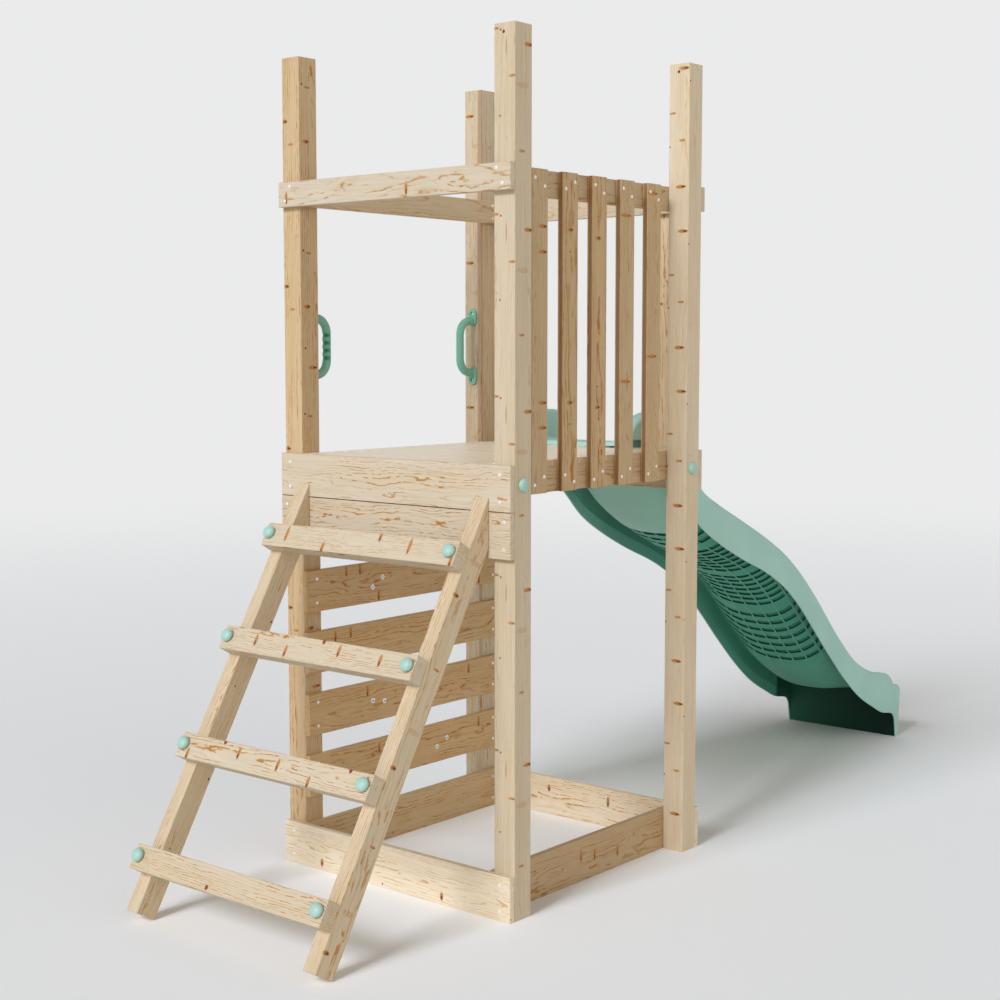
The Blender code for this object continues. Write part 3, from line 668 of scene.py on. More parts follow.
SLIDE_FINISH = moulded("slide_moulding", MINT, 0.48, 650.0, 0.0002, shine=0.15)
GRIP_FINISH = moulded("handle_moulding", MINT_GRIP, 0.36, 900.0, 0.0001)
CAP_FINISH = moulded("cap_moulding", MINT_CAP, 0.38, 900.0, 0.0001)
HOLD_FINISH = moulded("hold_moulding", MINT, 0.55, 420.0, 0.0005)
ZINC_FINISH = moulded("zinc_plate", ZINC, 0.34, 1500.0, 0.0001, 0.6)


# Timber

def dress_timber():
    seed = 11
    for name in sorted(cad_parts):
        way = next((GRAIN[start] for start in GRAIN if name.startswith(start)), None)
        if way is None:
            continue
        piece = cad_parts[name]
        piece.data.materials.clear()
        piece.data.materials.append(spruce(name, *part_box(name), way, seed))
        seed += 7


# Slide: half widths of its section, thicknesses and the lattice of slots under it
SLIDE_SHIFT = -0.5422635652
SLIDE_HALF = 0.236
SKIN = 0.005
FLOOR_SKIN = 0.0135
WALL_FOOT = 0.176
WALL_HEAD = 0.190
BELLY_WIDTH = 0.12
BELLY_RISE = 0.020
BELLY_POWER = 2.8
RIB_LINES = (0.0, 0.055, 0.110, 0.165)
RIB_HALF = 0.0034
RIB_CREST = 0.0016
# Painted shade level on the lattice's rib crests, lower than around them so they show lighter
CREST_PAINTED_SHADE = 0.36
SLOT_GROUPS = ((0.83, 0.92, 3, 0.0235), (0.986, 1.19, 7, 0.0235), (1.247, 1.398, 7, 0.017),
               (1.45, 1.65, 7, 0.02))
# Each slot's insets: thickness, depth, and the level of painted shade inside it
SLOT_INSETS = ((0.0005, -0.0004, 0.96), (0.0006, -0.0050, 0.95), (0.0005, 0.0, 0.905))
LATTICE_START = 0.810
LATTICE_END = 1.680
LATTICE_STEP = 0.004
SLOT_MARGIN = 0.004
LONGEST_STEP = 0.016
EVEN_STEP = 0.013
PANEL_REAR = 2.1362
SLIDE_START = 0.355
SLIDE_END = 2.154
PANEL_LEAN = 0.05
SKIRT_RIDGE = 0.040
FLOOR_POINTS = (0.140, 0.122, 0.100, 0.075, 0.050, 0.025)

# Slide: side view lines, as points (x, z) that a smooth curve passes, x from the tower's middle
WALL_TOP = (
    (SLIDE_START, 1.246), (0.37, 1.267), (0.411, 1.294), (0.46, 1.305), (0.53, 1.304),
    (0.58, 1.292), (0.63, 1.238), (0.68, 1.15), (0.752, 1.05), (0.843, 1.0008),
    (0.986, 0.9372), (1.147, 0.864), (1.267, 0.8009), (1.367, 0.7319), (1.47, 0.6449),
    (1.687, 0.4362), (1.8, 0.3469), (1.901, 0.2972), (1.988, 0.2714), (2.054, 0.2602),
    (2.0925, 0.2383), (2.1085, 0.2183), (2.125, 0.206), (2.146, 0.2005), (SLIDE_END, 0.191))
SKIRT_EDGE = (
    (SLIDE_START, 1.225), (0.4466, 1.225), (0.47, 1.172), (0.5, 1.14), (0.56, 1.087),
    (0.635, 1.0247), (0.734, 0.936), (0.857, 0.8659), (0.989, 0.8063), (1.15, 0.743),
    (1.271, 0.6798), (1.371, 0.6057), (1.4745, 0.5101), (1.595, 0.3965), (1.72, 0.287),
    (1.834, 0.205), (1.936, 0.152), (2.025, 0.113), (2.099, 0.0976), (2.123, 0.0758),
    (2.133, 0.0248), (PANEL_REAR, 0.0), (SLIDE_END, 0.0))
UNDERSIDE = (
    (SLIDE_START, 1.2003), (0.448, 1.2003), (0.47, 1.182), (0.5, 1.145), (0.56, 1.089),
    (0.635, 1.0255), (0.734, 0.937), (0.857, 0.867), (0.989, 0.8073), (1.15, 0.744),
    (1.271, 0.681), (1.371, 0.607), (1.4745, 0.511), (1.595, 0.3975), (1.72, 0.29),
    (1.8, 0.24), (1.88, 0.205), (1.96, 0.195), (2.05, 0.188), (2.133, 0.184))
BELLY_SHARE = ((SLIDE_START, 0.1), (0.45, 0.12), (0.62, 1.0), (1.85, 1.0), (2.1, 0.1),
               (SLIDE_END, 0.04))

# Stations where the slide's section is laid: at its bends, beside its steps, and evenly between
BEND_STATIONS = (
    SLIDE_START, 0.358, 0.362, 0.368, 0.376, 0.388, 0.4, LATTICE_START - 0.0012,
    LATTICE_START + 0.0012, LATTICE_START + 0.0055, LATTICE_END - 0.0012, LATTICE_END + 0.0012,
    2.008, 2.022, 2.036, 2.05, 2.062, 2.074, 2.084, 2.092, 2.099, 2.105, 2.111, 2.118, 2.125,
    2.133, PANEL_REAR, 2.14, 2.146, 2.15, 2.1525, SLIDE_END,
    *(0.4 + 0.0115 * i for i in range(1, 36)), *(1.681 + 0.0135 * i for i in range(1, 24)))


def within(value):
    return min(1.0, max(0.0, value))


def smooth_line(knots, x):
    """Height at x on the curve through the knots, which never swings past a knot."""
    xs, zs = zip(*knots)
    if x <= xs[0]:
        return zs[0]
    if x >= xs[-1]:
        return zs[-1]
    steps = [(zs[i + 1] - zs[i]) / (xs[i + 1] - xs[i]) for i in range(len(xs) - 1)]

    def tangent(i):
        if i == 0 or i == len(xs) - 1:
            return steps[min(i, len(steps) - 1)]
        before, after = steps[i - 1], steps[i]
        return 2.0 * before * after / (before + after) if before * after > 0.0 else 0.0

    i = max(j for j in range(len(xs) - 1) if xs[j] <= x)
    span = xs[i + 1] - xs[i]
    t = (x - xs[i]) / span
    start = (1 + 2 * t) * (1 - t) ** 2 * zs[i] + t * (1 - t) ** 2 * span * tangent(i)
    end = t * t * (3 - 2 * t) * zs[i + 1] + t * t * (t - 1) * span * tangent(i + 1)
    return start + end


def steepness(x):
    """Length along the underside for one unit along x."""
    reach = 0.004
    drop = smooth_line(UNDERSIDE, x + reach) - smooth_line(UNDERSIDE, x - reach)
    return hypot(1.0, drop / (2 * reach))


def belly(y, x):
    """Rise of the trough's rounded underside at distance y from the middle."""
    return smooth_line(BELLY_SHARE, x) * BELLY_RISE * (abs(y) / BELLY_WIDTH) ** BELLY_POWER


def in_lattice(x):
    return LATTICE_START < x < LATTICE_END


def rounded(corners):
    """Points of a line whose corners, given as (y, z, radius, steps), are turned into arcs."""
    points = []
    for i, (y, z, *arc) in enumerate(corners):
        if not arc or i == 0 or i == len(corners) - 1:
            points.append((y, z))
            continue
        radius, steps = arc
        corner = Vector((y, z))
        arms = []
        for other in (corners[i - 1], corners[i + 1]):
            way = Vector(other[:2]) - corner
            long = way.length
            arms.append(corner + way * (min(radius, 0.45 * long) / long if long > 1e-9 else 0.0))
        for step in range(steps + 1):
            t = step / steps
            points.append((arms[0] * (1 - t) ** 2 + corner * 2 * t * (1 - t) + arms[1] * t * t)[:])
    return points


def under_points(x, under):
    """The underside's points from the middle out, with a crest on every rib, and the slots' columns."""
    crest = RIB_CREST if in_lattice(x) else 0.0
    points, columns = [], []
    for line in RIB_LINES:
        for part, lift in ((-1.0, 0.0), (-0.45, crest), (0.45, crest), (1.0, 0.0)):
            y = line + RIB_HALF * part
            if y > 0.0:
                points.append((y, under + belly(y, x) - lift))
        if line != RIB_LINES[-1]:
            columns.append(len(points) - 1)
            for share in (0.33, 0.67):
                y = line + RIB_HALF + share * (RIB_LINES[1] - 2 * RIB_HALF)
                points.append((y, under + belly(y, x)))
    return points, columns


def slide_half_section(x):
    """Half of the slide's section at x, from the underside's middle to the floor's middle."""
    steep = steepness(x)
    share, top, edge, under = (
        smooth_line(line, x) for line in (BELLY_SHARE, WALL_TOP, SKIRT_EDGE, UNDERSIDE))
    floor = under + FLOOR_SKIN * steep
    if in_lattice(x):
        under += LATTICE_STEP
    inside, columns = under_points(x, under)
    foot = (WALL_FOOT + 0.004, under + 0.072 * share)
    head = (WALL_HEAD + 0.006, top - 0.018 * steep)
    side_end = [low + 0.55 * (high - low) for low, high in zip(foot, head)]
    columns.append(len(inside) - 1)
    inside += rounded([inside[-1], (*foot, 0.020, 4), side_end])[1:]
    columns.append(len(inside) - 1)
    skirt_top = top - 0.014 * steep
    inner = SLIDE_HALF - SKIN
    tall = skirt_top - edge
    ridge = min(SKIRT_RIDGE, 0.4 * tall)
    ease = min(1.0, tall / 0.100)

    def inner_face(above, out=0.0):
        """Point of the skirt's inner face at a height above its edge, or out of that face."""
        return inner - (0.010 - SKIN) * above / tall - out * ease, edge + above

    inside += rounded([
        side_end, (*head, 0.007, 3), (SLIDE_HALF - 0.010, skirt_top, 0.008, 3),
        inner_face(ridge + 0.0035 * ease), inner_face(ridge + 0.0012 * ease, 0.0012),
        inner_face(ridge - 0.0012 * ease, 0.0012), inner_face(ridge - 0.0035 * ease),
        (inner, edge, 0.0020, 3), (SLIDE_HALF, edge)])[1:-1]
    if x >= PANEL_REAR:
        inside = [(y, 0.0) for y, _ in inside]
    highest = top - 0.001
    outside = rounded([
        (inner, edge), (SLIDE_HALF, edge, 0.0020, 3), (SLIDE_HALF, top, 0.013, 6),
        (WALL_HEAD, top, 0.012, 5), (WALL_FOOT - 0.004, min(highest, floor + 0.062 * share), 0.022, 4),
        (0.155, min(highest, floor + belly(0.155, x)))])[1:]
    outside += [(y, min(highest, floor + belly(y, x))) for y in (*FLOOR_POINTS, 0.0)]
    return inside, outside, columns


def slide_ring(x):
    """The whole closed section at x, with the end panel leaning out a little at its top."""
    inside, outside, _ = slide_half_section(x)
    right = inside + outside
    left = [(-y, z) for y, z in reversed(outside[:-1])] + [(-y, z) for y, z in reversed(inside)]
    lean = PANEL_LEAN if x >= PANEL_REAR else 0.0
    return [(x + lean * z + SLIDE_SHIFT, y, z) for y, z in right + left]


def slot_rows():
    """Start and end of every row of slots, evenly spaced along the slope in each group."""
    rows = []
    fine = 60
    for first, last, count, length in SLOT_GROUPS:
        xs = [first + (last - first) * i / fine for i in range(fine + 1)]
        lengths = [0.0]
        for a, b in zip(xs, xs[1:]):
            drop = smooth_line(UNDERSIDE, b) - smooth_line(UNDERSIDE, a)
            lengths.append(lengths[-1] + hypot(b - a, drop))
        for row in range(count):
            target = lengths[-1] * row / (count - 1)
            i = min(max(j for j in range(fine + 1) if lengths[j] <= target + 1e-9), fine - 1)
            x = xs[i] + (xs[i + 1] - xs[i]) * (target - lengths[i]) / (lengths[i + 1] - lengths[i])
            half = length / 2 / steepness(x)
            rows.append((x - half, x + half))
    return rows


def slide_stations(rows):
    """Every x at which the slide's section is laid: a slot's own length has none between its ends."""
    ends = [x for row in rows for x in row]
    keep = [x for x in BEND_STATIONS if all(abs(x - end) > SLOT_MARGIN for end in ends)]
    stations = sorted({*keep, *ends})
    filled = stations[:1]
    for x in stations[1:]:
        gap = x - filled[-1]
        if gap > LONGEST_STEP and in_lattice(x) and filled[-1] not in ends[::2]:
            parts = ceil(gap / EVEN_STEP)
            filled += [filled[-1] + gap * i / parts for i in range(1, parts)]
        filled.append(x)
    return filled


def painted_shade_level(x, j, ends, y):
    """Level of painted shade at a point: 0 outside, more under the trough, inside the skirts and in the
    run-out.
    """
    wall, edge = ends[2], ends[3] - 3
    if j >= edge or x < 0.3575 or x > PANEL_REAR + 0.001:
        return 0.0
    # Painted shade inside the run-out, darker on its near side where the shadow falls
    if x > 2.040:
        return 0.965 - 0.03 * y / SLIDE_HALF
    # Painted shade on the skirts' inner faces, more down the slope and towards their tops
    if j > wall:
        lower = within((x - 0.780) / 0.450)
        begun = within((x - 0.360) / 0.150)
        depth = begun * (0.28 + 0.26 * lower + 0.30 * (edge - j) / (edge - wall))
    # A painted shadow line where the lattice steps in
    elif LATTICE_START < x < LATTICE_START + 0.004:
        return 0.97
    else:
        # Painted shade under the trough, most in the lattice of slots
        depth = 0.12 if x < LATTICE_START else 0.70 if x < LATTICE_END else 0.50
    return max(depth, 0.95 * within((x - 1.940) / 0.090))


def make_slide():
    """A one-piece moulding: a trough with rolled rims, hanging skirts and a slotted underside."""
    rows = slot_rows()
    starts = [x for x, _ in rows]
    stations = slide_stations(rows)
    rings = [slide_ring(x) for x in stations]
    inside, _, columns = slide_half_section(1.5)
    around = len(rings[0])
    bpy.ops.mesh.primitive_grid_add(x_subdivisions=len(stations) - 1, y_subdivisions=around, size=1.0)
    slide = begin("slide_moulding")
    bm = bmesh.from_edit_mesh(slide.data)
    slot_mark = bm.faces.layers.int.new("slot")
    painted_shade = bm.verts.layers.float.new("painted_shade")
    slotted = set(range(columns[0], columns[-1]))
    for first in columns[:3]:
        slotted -= {first + 3, first + 4, first + 5}
    slotted |= {around - 2 - j for j in slotted}
    crests = {0} | {column + step for column in columns[:3] for step in (4, 5)}
    ends = (columns[0], columns[-2], columns[-1], len(inside))
    seats = {vert: (round((vert.co.x + 0.5) * (len(stations) - 1)), round((vert.co.y + 0.5) * around))
             for vert in bm.verts}
    for face in bm.faces:
        i, j = (min(seats[vert][axis] for vert in face.verts) for axis in (0, 1))
        if stations[i] in starts and j in slotted:
            face[slot_mark] = 1
    # Every point gets its level of painted shade; the lattice's rib crests a lower one
    for vert, (i, j) in seats.items():
        vert.co = rings[i][j % around]
        j = min(j % around, around - 1 - j % around)
        vert[painted_shade] = painted_shade_level(stations[i], j, ends, vert.co.y)
        if in_lattice(stations[i]) and j in crests:
            vert[painted_shade] = CREST_PAINTED_SHADE
    bmesh.update_edit_mesh(slide.data)
    bpy.ops.mesh.select_all(action="SELECT")
    bpy.ops.mesh.remove_doubles(threshold=MERGE)
    for end in (stations[0] + SLIDE_SHIFT, stations[-1] + SLIDE_SHIFT):
        pick(slide, "EDGE", lambda edge: edge.is_boundary and all(
            abs(vert.co.x - end) < 0.012 for vert in edge.verts))
        bpy.ops.mesh.edge_face_add()
    bpy.ops.mesh.select_all(action="SELECT")
    bpy.ops.mesh.normals_make_consistent(inside=False)
    sink_slots(slide)
    settle(slide, 34.0)
    dress(slide, SLIDE_FINISH, ["slide"])


def sink_slots(slide):
    """Sinks the marked faces as slots with drafted walls and paints shade inside them."""
    bm = bmesh.from_edit_mesh(slide.data)
    mark = bm.faces.layers.int["slot"]
    pick(slide, "FACE", lambda face: face[mark] == 1)
    for thickness, depth, level in SLOT_INSETS:
        bpy.ops.mesh.inset(thickness=thickness, depth=depth)
        paint_shade(slide, level)


# Handles
HANDLE_PLACE = (0.392, 1.5035)
HANDLE_FACES = {"handle_ladder": (-0.9020, 0.0), "handle_slide": (-0.1826, 180.0)}
GRIP_RADIUS = 0.0125
GRIP_START = 0.004
GRIP_ROWS = 48
HANDLE_LEG = 0.082
HANDLE_REACH = 0.077
BEND_RADIUS = 0.043
TAB_THICK = 0.008
TAB_RADIUS = 0.016
TAB_MIDDLE = 0.1055
TAB_BACK = 0.0225
SCREW_OFFSET = 0.106
FINGER_PITCH = 0.022
FINGER_DEPTH = 0.0044
SIDEWAYS = (0.0, radians(90.0), 0.0)


def turn_grip(height, start):
    """Spins the grip's open end a quarter turn about the bend's centre."""
    bpy.ops.mesh.spin(steps=10, dupli=False, angle=radians(90.0), center=(start, 0.0, height),
                      axis=(0.0, 1.0, 0.0))


def handle_master():
    """A D grip standing off along +X from a post's face at x = 0, its middle at the origin."""
    reach = HANDLE_REACH - GRIP_RADIUS
    leg = reach - BEND_RADIUS
    straight = HANDLE_LEG - BEND_RADIUS
    bpy.ops.mesh.primitive_circle_add(vertices=24, radius=GRIP_RADIUS, fill_type="NGON",
                                      location=(GRIP_START, 0.0, -HANDLE_LEG), rotation=SIDEWAYS)
    grip = begin("grip_master")
    extrude(leg - GRIP_START, 0.0, 0.0)
    turn_grip(-straight, leg)
    for _ in range(GRIP_ROWS):
        extrude(0.0, 0.0, 2 * straight / GRIP_ROWS)
    turn_grip(straight, leg)
    extrude(GRIP_START - leg, 0.0, 0.0)
    # Finger grooves on the grip's inner face, with painted shade in each groove
    with editing(grip) as bm:
        painted_shade = bm.verts.layers.float.new("painted_shade")
        for vert in bm.verts:
            inward = (reach - vert.co.x) / GRIP_RADIUS
            if abs(vert.co.z) < 2 * FINGER_PITCH and inward > -0.2:
                groove = (0.5 - 0.5 * cos(2 * pi * vert.co.z / FINGER_PITCH)) ** 2
                vert.co.x += FINGER_DEPTH * groove * within(inward)
                vert[painted_shade] = 0.93 * groove * min(1.0, inward + 0.45)
    close_shell(0.00001)
    settle(grip, 50.0)
    for side in (-1, 1):
        combine(grip, tab_master(side), "UNION")
    return settle(grip, 38.0)


def tab_master(side):
    """A rounded boss on the post's face round one screw, with a countersunk hole."""
    middle = side * TAB_MIDDLE
    bpy.ops.mesh.primitive_circle_add(vertices=40, radius=TAB_RADIUS, fill_type="NGON",
                                      location=(0.0, 0.0, middle), rotation=SIDEWAYS)
    tab = begin("tab_master")
    with editing(tab) as bm:
        for vert in bm.verts:
            vert.co.x = 0.0003
            if (vert.co.z - middle) * side < -0.0001:
                vert.co.z -= side * TAB_BACK
    extrude(TAB_THICK, 0.0, 0.0)
    bpy.ops.mesh.select_all(action="SELECT")
    bpy.ops.mesh.normals_make_consistent(inside=False)
    pick(tab, "FACE", lambda face: face.normal.x > 0.9)
    bpy.ops.mesh.bevel(offset=0.0022, segments=4, affect="EDGES")
    settle(tab, 40.0)
    bpy.ops.mesh.primitive_cone_add(
        vertices=28, radius1=0.0050, radius2=0.0066, depth=0.007, rotation=SIDEWAYS,
        location=(TAB_THICK - 0.0030, 0.0, side * SCREW_OFFSET))
    combine(tab, named("tab_sink"))
    return tab


def place_handles(master, screw):
    ends = []
    for name, (face, turn) in HANDLE_FACES.items():
        seat = Matrix.Translation((face, *HANDLE_PLACE)) @ Matrix.Rotation(radians(turn), 4, "Z")
        dress(repeat(master, name + "_moulding", [seat]), GRIP_FINISH, [name])
        for side in (-1, 1):
            place = (TAB_THICK - 0.0056, 0.0, side * SCREW_OFFSET)
            ends.append(seat @ facing(place, (1, 0, 0), 0.4 * side))
    dress(repeat(screw, "screws_handles", ends), ZINC_FINISH)


# Bolts
CAP_RADIUS = 0.0185
CAP_RIM = 0.0030
CAP_DOME = 0.0088
LADDER_CAP_STRETCH = 1.35
POST_FACE = 0.4267
BEARER_BACK = 0.3137
RUNG_CAP_SEAT = 0.049
RAIL_BACK = 0.1126


def cap_master():
    """Round cap over a bolt head: a full dome on a short rim, seat at z = 0, looking up +Z."""
    bpy.ops.mesh.primitive_uv_sphere_add(segments=48, ring_count=24, radius=CAP_RADIUS)
    cap = begin("cap_master")
    bpy.ops.mesh.bisect(plane_co=(0.0, 0.0, 0.0), plane_no=(0.0, 0.0, 1.0), clear_inner=True)
    pick(cap, "EDGE", lambda edge: edge.is_boundary)
    with editing(cap) as bm:
        for vert in bm.verts:
            flat = vert.co.xy.length / CAP_RADIUS
            vert.co.xy *= flat ** -0.06 if flat > 1e-6 else 1.0
            lift = (vert.co.z / CAP_RADIUS) ** 0.95 * CAP_DOME if vert.co.z > 1e-7 else 0.0
            vert.co.z = CAP_RIM + lift
    return close_base(cap, (0.0, 0.0, -CAP_RIM), (0.97, 0.97, 1.0), 50.0)


def disc(name, vertices, radius, depth, z):
    """A short upright cylinder about the Z axis, in edit mode with its top selected."""
    bpy.ops.mesh.primitive_cylinder_add(vertices=vertices, radius=radius, depth=depth,
                                        location=(0.0, 0.0, z))
    piece = begin(name)
    pick_top(piece)
    return piece


def button(name, vertices, radius, depth, z, edge):
    """A disc with its top edge rounded."""
    piece = disc(name, vertices, radius, depth, z)
    bpy.ops.mesh.bevel(offset=edge, segments=3, affect="EDGES")
    return settle(piece, 30.0)


def nut_master():
    """Domed bolt end on a washer, for the inner end of every bolt."""
    washer = disc("nut_master", 32, 0.0105, 0.0016, 0.0008)
    bpy.ops.mesh.inset(thickness=0.0035, depth=0.0)
    extrude(0.0, 0.0, 0.0024)
    bpy.ops.mesh.bevel(offset=0.0014, segments=3, affect="EDGES")
    return settle(washer, 40.0)


def place_caps(cap, nut):
    """Caps and bolt ends stand for the frame's bolt nodes."""
    lean = radians(LADDER_LEAN)
    ends = []
    for name in sorted(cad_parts):
        if "_bolt_" not in name:
            continue
        low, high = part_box(name)
        middle = (low + high) / 2
        if name.startswith("deck"):
            side = copysign(1.0, middle.y)
            out, tall = Vector((0.0, side, 0.0)), 1.0
            seat, back = (Vector((middle.x, side * y, middle.z)) for y in (POST_FACE, BEARER_BACK))
        else:
            out, tall = Vector((-cos(lean), 0.0, sin(lean))), LADDER_CAP_STRETCH
            seat = middle + out * RUNG_CAP_SEAT
            back = seat - out * RAIL_BACK
        place = facing(seat, out) @ Matrix.Diagonal((1.0, 1.0, tall, 1.0))
        dress(repeat(cap, name + "_cap", [place]), CAP_FINISH, [name])
        ends.append(facing(back, -out))
    dress(repeat(nut, "bolt_ends", ends), ZINC_FINISH)


# Screws and plates
POST_LINES = (-0.9353, -0.1473)
GROUND_PAIR = (0.026, 0.096)
RAIL_PAIR = (1.911, 1.951)
BOARD_PAIR = (-0.035, 0.035)


def screw_master():
    """Countersunk screw head, 9 mm, with a cross recess, looking up +Z."""
    head = button("screw_master", 24, 0.0047, 0.0022, -0.0004, 0.0008)
    for turn in (0.0, 90.0):
        bpy.ops.mesh.primitive_cube_add(
            size=1.0, location=(0.0, 0.0, 0.0007), rotation=(0.0, 0.0, radians(turn)),
            scale=(0.0042, 0.0009, 0.0016))
        combine(head, named("recess"))
    return settle(head, 30.0)


def plate_master():
    """Threaded plate, 14 mm square with round corners and a slot across its middle."""
    bpy.ops.mesh.primitive_cube_add(size=1.0, location=(0.0, 0.0, 0.0003), scale=(0.0142, 0.0142, 0.0026))
    plate = begin("plate_master")
    pick(plate, "EDGE", lambda edge: abs(edge.verts[0].co.z - edge.verts[1].co.z) > 0.001)
    bpy.ops.mesh.bevel(offset=0.0030, segments=4, affect="EDGES")
    pick_top(plate)
    bpy.ops.mesh.bevel(offset=0.0005, segments=2, affect="EDGES")
    pick_top(plate)
    bpy.ops.mesh.inset(thickness=0.0040, depth=0.0)
    bpy.ops.transform.resize(value=(1.35, 0.62, 1.0))
    extrude(0.0, 0.0, -0.0016)
    # Painted shade in the slot
    paint_shade(plate, 1.0)
    return settle(plate, 30.0)


def place_screws(screw):
    draw = random.Random(5)

    def drive(name, places, *direction):
        seats = [facing(place, direction, draw.uniform(0.0, 1.5)) for place in places]
        dress(repeat(screw, "screws_" + name, seats), ZINC_FINISH)

    def middle(name):
        low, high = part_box(name)
        return (low + high) / 2

    slats = []
    for k in range(1, 6):
        x, side = middle("fence_slat_%d" % k).x, -1 if k == 2 else 1
        slats += [(x + shift * side, SLAT_FACE, z) for shift, z in (
            (-0.020, 1.942), (0.020, 1.922), (-0.020, 1.1377), (0.020, 1.1577))]
    drive("fence", slats, 0, -1, 0)

    heights = [(middle("wall_board_%d" % k).z, BOARD_PAIR) for k in range(1, 6)]
    heights += [(1.931, (-0.020, 0.020)), (0.061, BOARD_PAIR)]
    drive("climbing_wall", [(x, WALL_FACE, z + dz) for z, pair in heights for x in POST_LINES
                            for dz in pair], 0, -1, 0)
    drive("fence_rails", [(x, -WALL_FACE, z) for x in POST_LINES for z in GROUND_PAIR + RAIL_PAIR], 0, 1, 0)
    drive("ladder_side", [(LADDER_FACE, side * y, z) for side in (-1, 1) for y, z in (
        (0.391, 1.1045), (0.391, 1.1755), (0.405, 0.9828), (0.405, 1.0528), (0.391, 0.026), (0.391, 0.096),
        (0.380, 1.953), (0.3995, 1.913))], -1, 0, 0)
    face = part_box("fascia_slide")[1].x
    drive("slide_side", [(face, side * 0.391, z) for side in (-1, 1)
                         for z in (*GROUND_PAIR, 1.105, 1.175, *RAIL_PAIR)], 1, 0, 0)
    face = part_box("guard_board_wall")[1].x
    drive("guard_boards", [(face, side * (0.301 + dy), z) for side in (-1, 1) for dy in BOARD_PAIR
                           for z in (1.115, 1.165, 1.916, 1.946)], 1, 0, 0)
    drive("deck", [(middle("deck_board_%d" % k).x + dx, side * 0.3357, 1.2000) for k in range(1, 8)
                   for dx in BOARD_PAIR for side in (-1, 1)], 0, 0, 1)


# Climbing holds and their plates
HOLD_PLACES = ((1, -0.3983, 0.258, 24.0), (2, -0.6838, 0.4375, -9.0), (3, -0.3983, 0.62, -16.0),
               (4, -0.6853, 0.8, 31.0), (5, -0.4023, 0.978, -21.0))
PLATE_PLACES = ((-0.3751, 0.2682), (-0.4217, 0.2472), (-0.7085, 0.4416), (-0.6591, 0.4334),
                (-0.376, 0.612), (-0.425, 0.626), (-0.6638, 0.8125), (-0.7067, 0.7871),
                (-0.379, 0.988), (-0.426, 0.97))
WALL_OUTER = 0.3580
HOLD_LENGTH = 0.115
HOLD_WIDTH = 0.080
HOLD_DEPTH = 0.042
HOLD_RIM = 0.006
HOLD_BOLT = 0.025


def hold_master():
    """A rounded grip with a flat back at y = 0 and two bolt pockets, its height along +Y."""
    bpy.ops.mesh.primitive_uv_sphere_add(segments=64, ring_count=40, radius=1.0,
                                         rotation=(radians(-90.0), 0.0, 0.0))
    hold = begin("hold_master")
    bpy.ops.mesh.bisect(plane_co=(0.0, 0.0, 0.0), plane_no=(0.0, 1.0, 0.0), clear_inner=True)
    pick(hold, "EDGE", lambda edge: edge.is_boundary)
    with editing(hold) as bm:
        for vert in bm.verts:
            flat = hypot(vert.co.x, vert.co.z)
            out = flat ** 0.62 / flat if flat > 1e-6 else 0.0
            x, z = vert.co.x * out, vert.co.z * out
            pinch = 1.0 - 0.16 * cos(atan2(z, x)) ** 2 * (1.0 if z < 0.0 else -0.3)
            lift = max(vert.co.y, 0.0) ** 0.80
            y = HOLD_RIM + (HOLD_DEPTH - HOLD_RIM) * lift
            vert.co = (x * HOLD_LENGTH / 2, y, z * HOLD_WIDTH / 2 * pinch)
    close_base(hold, (0.0, -0.0055, 0.0), (0.95, 1.0, 0.95), 40.0)
    for side in (-1, 1):
        bpy.ops.mesh.primitive_cylinder_add(
            vertices=32, radius=0.008, depth=0.040, rotation=(radians(90.0), 0.0, 0.0),
            location=(side * HOLD_BOLT, 0.034, 0.0))
        combine(hold, named("hold_pocket"))
    return settle(hold, 40.0)


def bolt_head_master():
    """Round bolt head with a six-sided recess, seat at z = 0, looking up +Z."""
    head = button("bolt_head_master", 32, 0.0066, 0.006, 0.003, 0.0009)
    bpy.ops.mesh.primitive_cylinder_add(vertices=6, radius=0.0034, depth=0.006, location=(0.0, 0.0, 0.0055))
    combine(head, named("bolt_recess"))
    return settle(head, 30.0)


def place_holds(hold, head):
    heads = []
    for k, x, z, turn in HOLD_PLACES:
        seat = Matrix.Translation((x, WALL_OUTER, z)) @ Matrix.Rotation(radians(-turn), 4, "Y")
        name = "climbing_hold_%d" % k
        dress(repeat(hold, name + "_moulding", [seat]), HOLD_FINISH,
              [name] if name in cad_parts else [])
        heads += [seat @ facing((side * HOLD_BOLT, 0.0138, 0.0), (0, 1, 0)) for side in (-1, 1)]
    dress(repeat(head, "hold_bolts", heads), ZINC_FINISH)


def place_plates(plate):
    seats = []
    for first, second in zip(PLATE_PLACES[::2], PLATE_PLACES[1::2]):
        turn = atan2(second[1] - first[1], second[0] - first[0])
        seats += [facing((x, WALL_FACE, z), (0, -1, 0), turn) for x, z in (first, second)]
    dress(repeat(plate, "hold_plates", seats), ZINC_FINISH)


# Stage, lights and camera

def seen_directly(tree):
    """1 where the background is looked at, straight or in a shiny or clear surface."""
    path = node(tree, "LightPath", {})
    return larger(path["Is Camera Ray"], larger(path["Is Glossy Ray"], path["Is Transmission Ray"]))


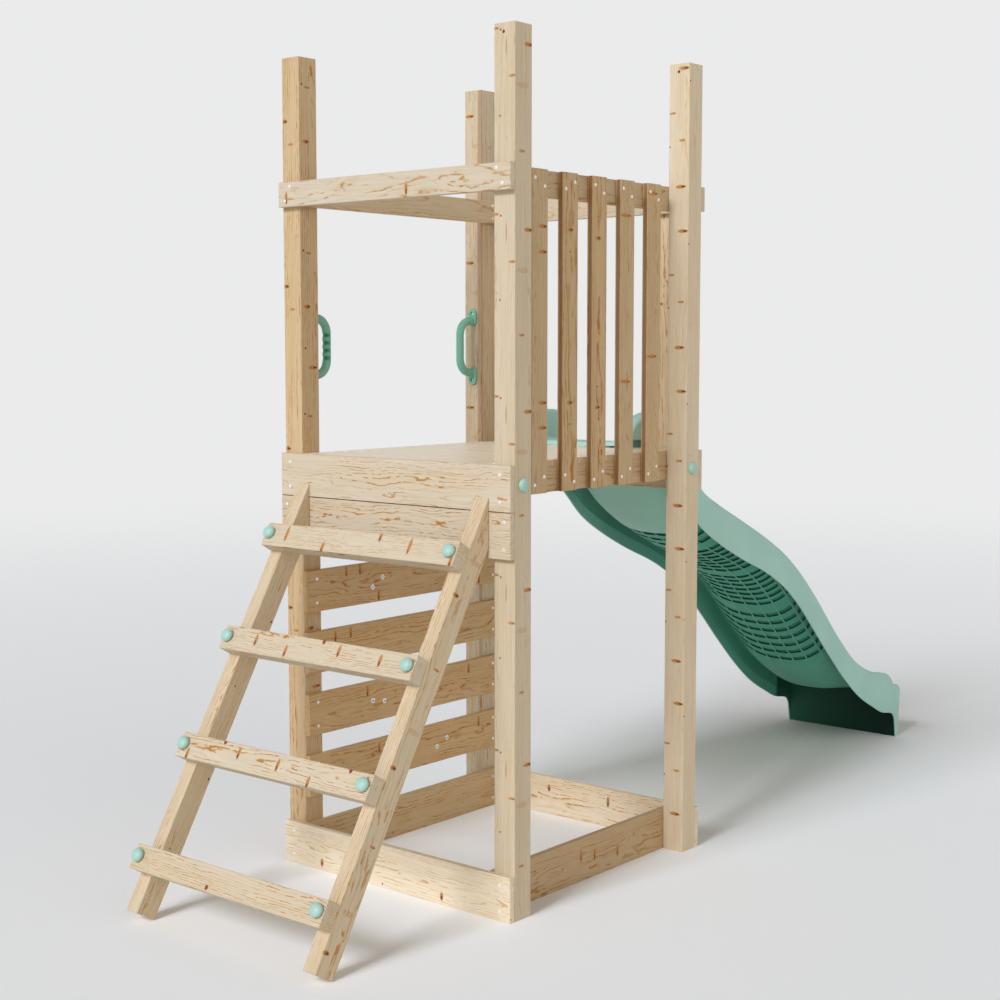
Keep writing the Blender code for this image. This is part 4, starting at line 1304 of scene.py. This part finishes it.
def make_stage():
    """A pale floor that runs into a background of one tone, so that no horizon shows."""
    bpy.ops.mesh.primitive_circle_add(vertices=96, radius=40.0, fill_type="NGON", location=(0.0, 0.0, 0.0))
    floor = named("floor")
    material, tree, shader = new_material("studio_floor")
    seen = seen_directly(tree)
    fill(shader, {"Roughness": 0.9, "Specular IOR Level": 0.1,
                  "Base Color": blend(seen, FLOOR_BOUNCE, FLOOR_TONE)})
    away = reckon("LENGTH", object_place(tree)).ramp(2.6, 12.0)
    far = node(tree, "Emission", {"Color": (*FAR_TONE, 1.0), "Strength": 1.0})
    mix = node(tree, "MixShader", {0: away * seen, 1: Wire(shader.outputs[0]), 2: far[0]})
    fill(tree.nodes["Material Output"], {"Surface": mix[0]})
    floor.data.materials.append(material)

    world = bpy.data.worlds.new("studio")
    bpy.context.scene.world = world
    world.use_nodes = True
    tree = world.node_tree
    height = split(node(tree, "TexCoord", {})["Generated"])["Z"]
    walls = reckon("MULTIPLY", AMBIENT, reckon("SUBTRACT", 1.0, larger(height, 0.0)))
    fill(tree.nodes["Background"], {"Color": blend(seen_directly(tree), walls, FAR_TONE), "Strength": 1.0})


def aim(holder, azimuth, elevation, axis, place):
    """Puts a lamp or camera at a place, its axis pointing along an azimuth and elevation."""
    bpy.context.scene.collection.objects.link(holder)
    a, e = radians(azimuth), radians(elevation)
    way = Vector((cos(a) * cos(e), sin(a) * cos(e), sin(e)))
    holder.rotation_mode = "QUATERNION"
    holder.rotation_quaternion = way.to_track_quat(axis, "Y")
    holder.location = place or way * 6.0


def make_lights():
    """Large soft studio lights: azimuth is where one stands, from +X towards +Y."""
    for name, azimuth, elevation, level, spread, colour in LIGHTS:
        lamp = bpy.data.lights.new(name, "SUN")
        lamp.energy = level * pi
        lamp.angle = radians(spread)
        lamp.color = colour
        aim(bpy.data.objects.new(name, lamp), azimuth, elevation, "Z", None)


def make_camera():
    lens = bpy.data.cameras.new("camera")
    lens.lens = CAMERA_LENS
    lens.sensor_width = 36.0
    camera = bpy.data.objects.new("camera", lens)
    aim(camera, CAMERA_YAW, CAMERA_PITCH, "-Z", CAMERA_PLACE)
    bpy.context.scene.camera = camera


bpy.context.scene.view_settings.view_transform = "Standard"
make_camera()
make_lights()
make_stage()
dress_timber()
make_slide()
masters = [cap_master(), nut_master(), screw_master(), plate_master(), handle_master(), hold_master(),
           bolt_head_master()]
cap, nut, screw, plate, handle, hold, bolt_head = masters
place_caps(cap, nut)
place_screws(screw)
place_handles(handle, screw)
place_holds(hold, bolt_head)
place_plates(plate)
for master in masters:
    bpy.data.objects.remove(master)
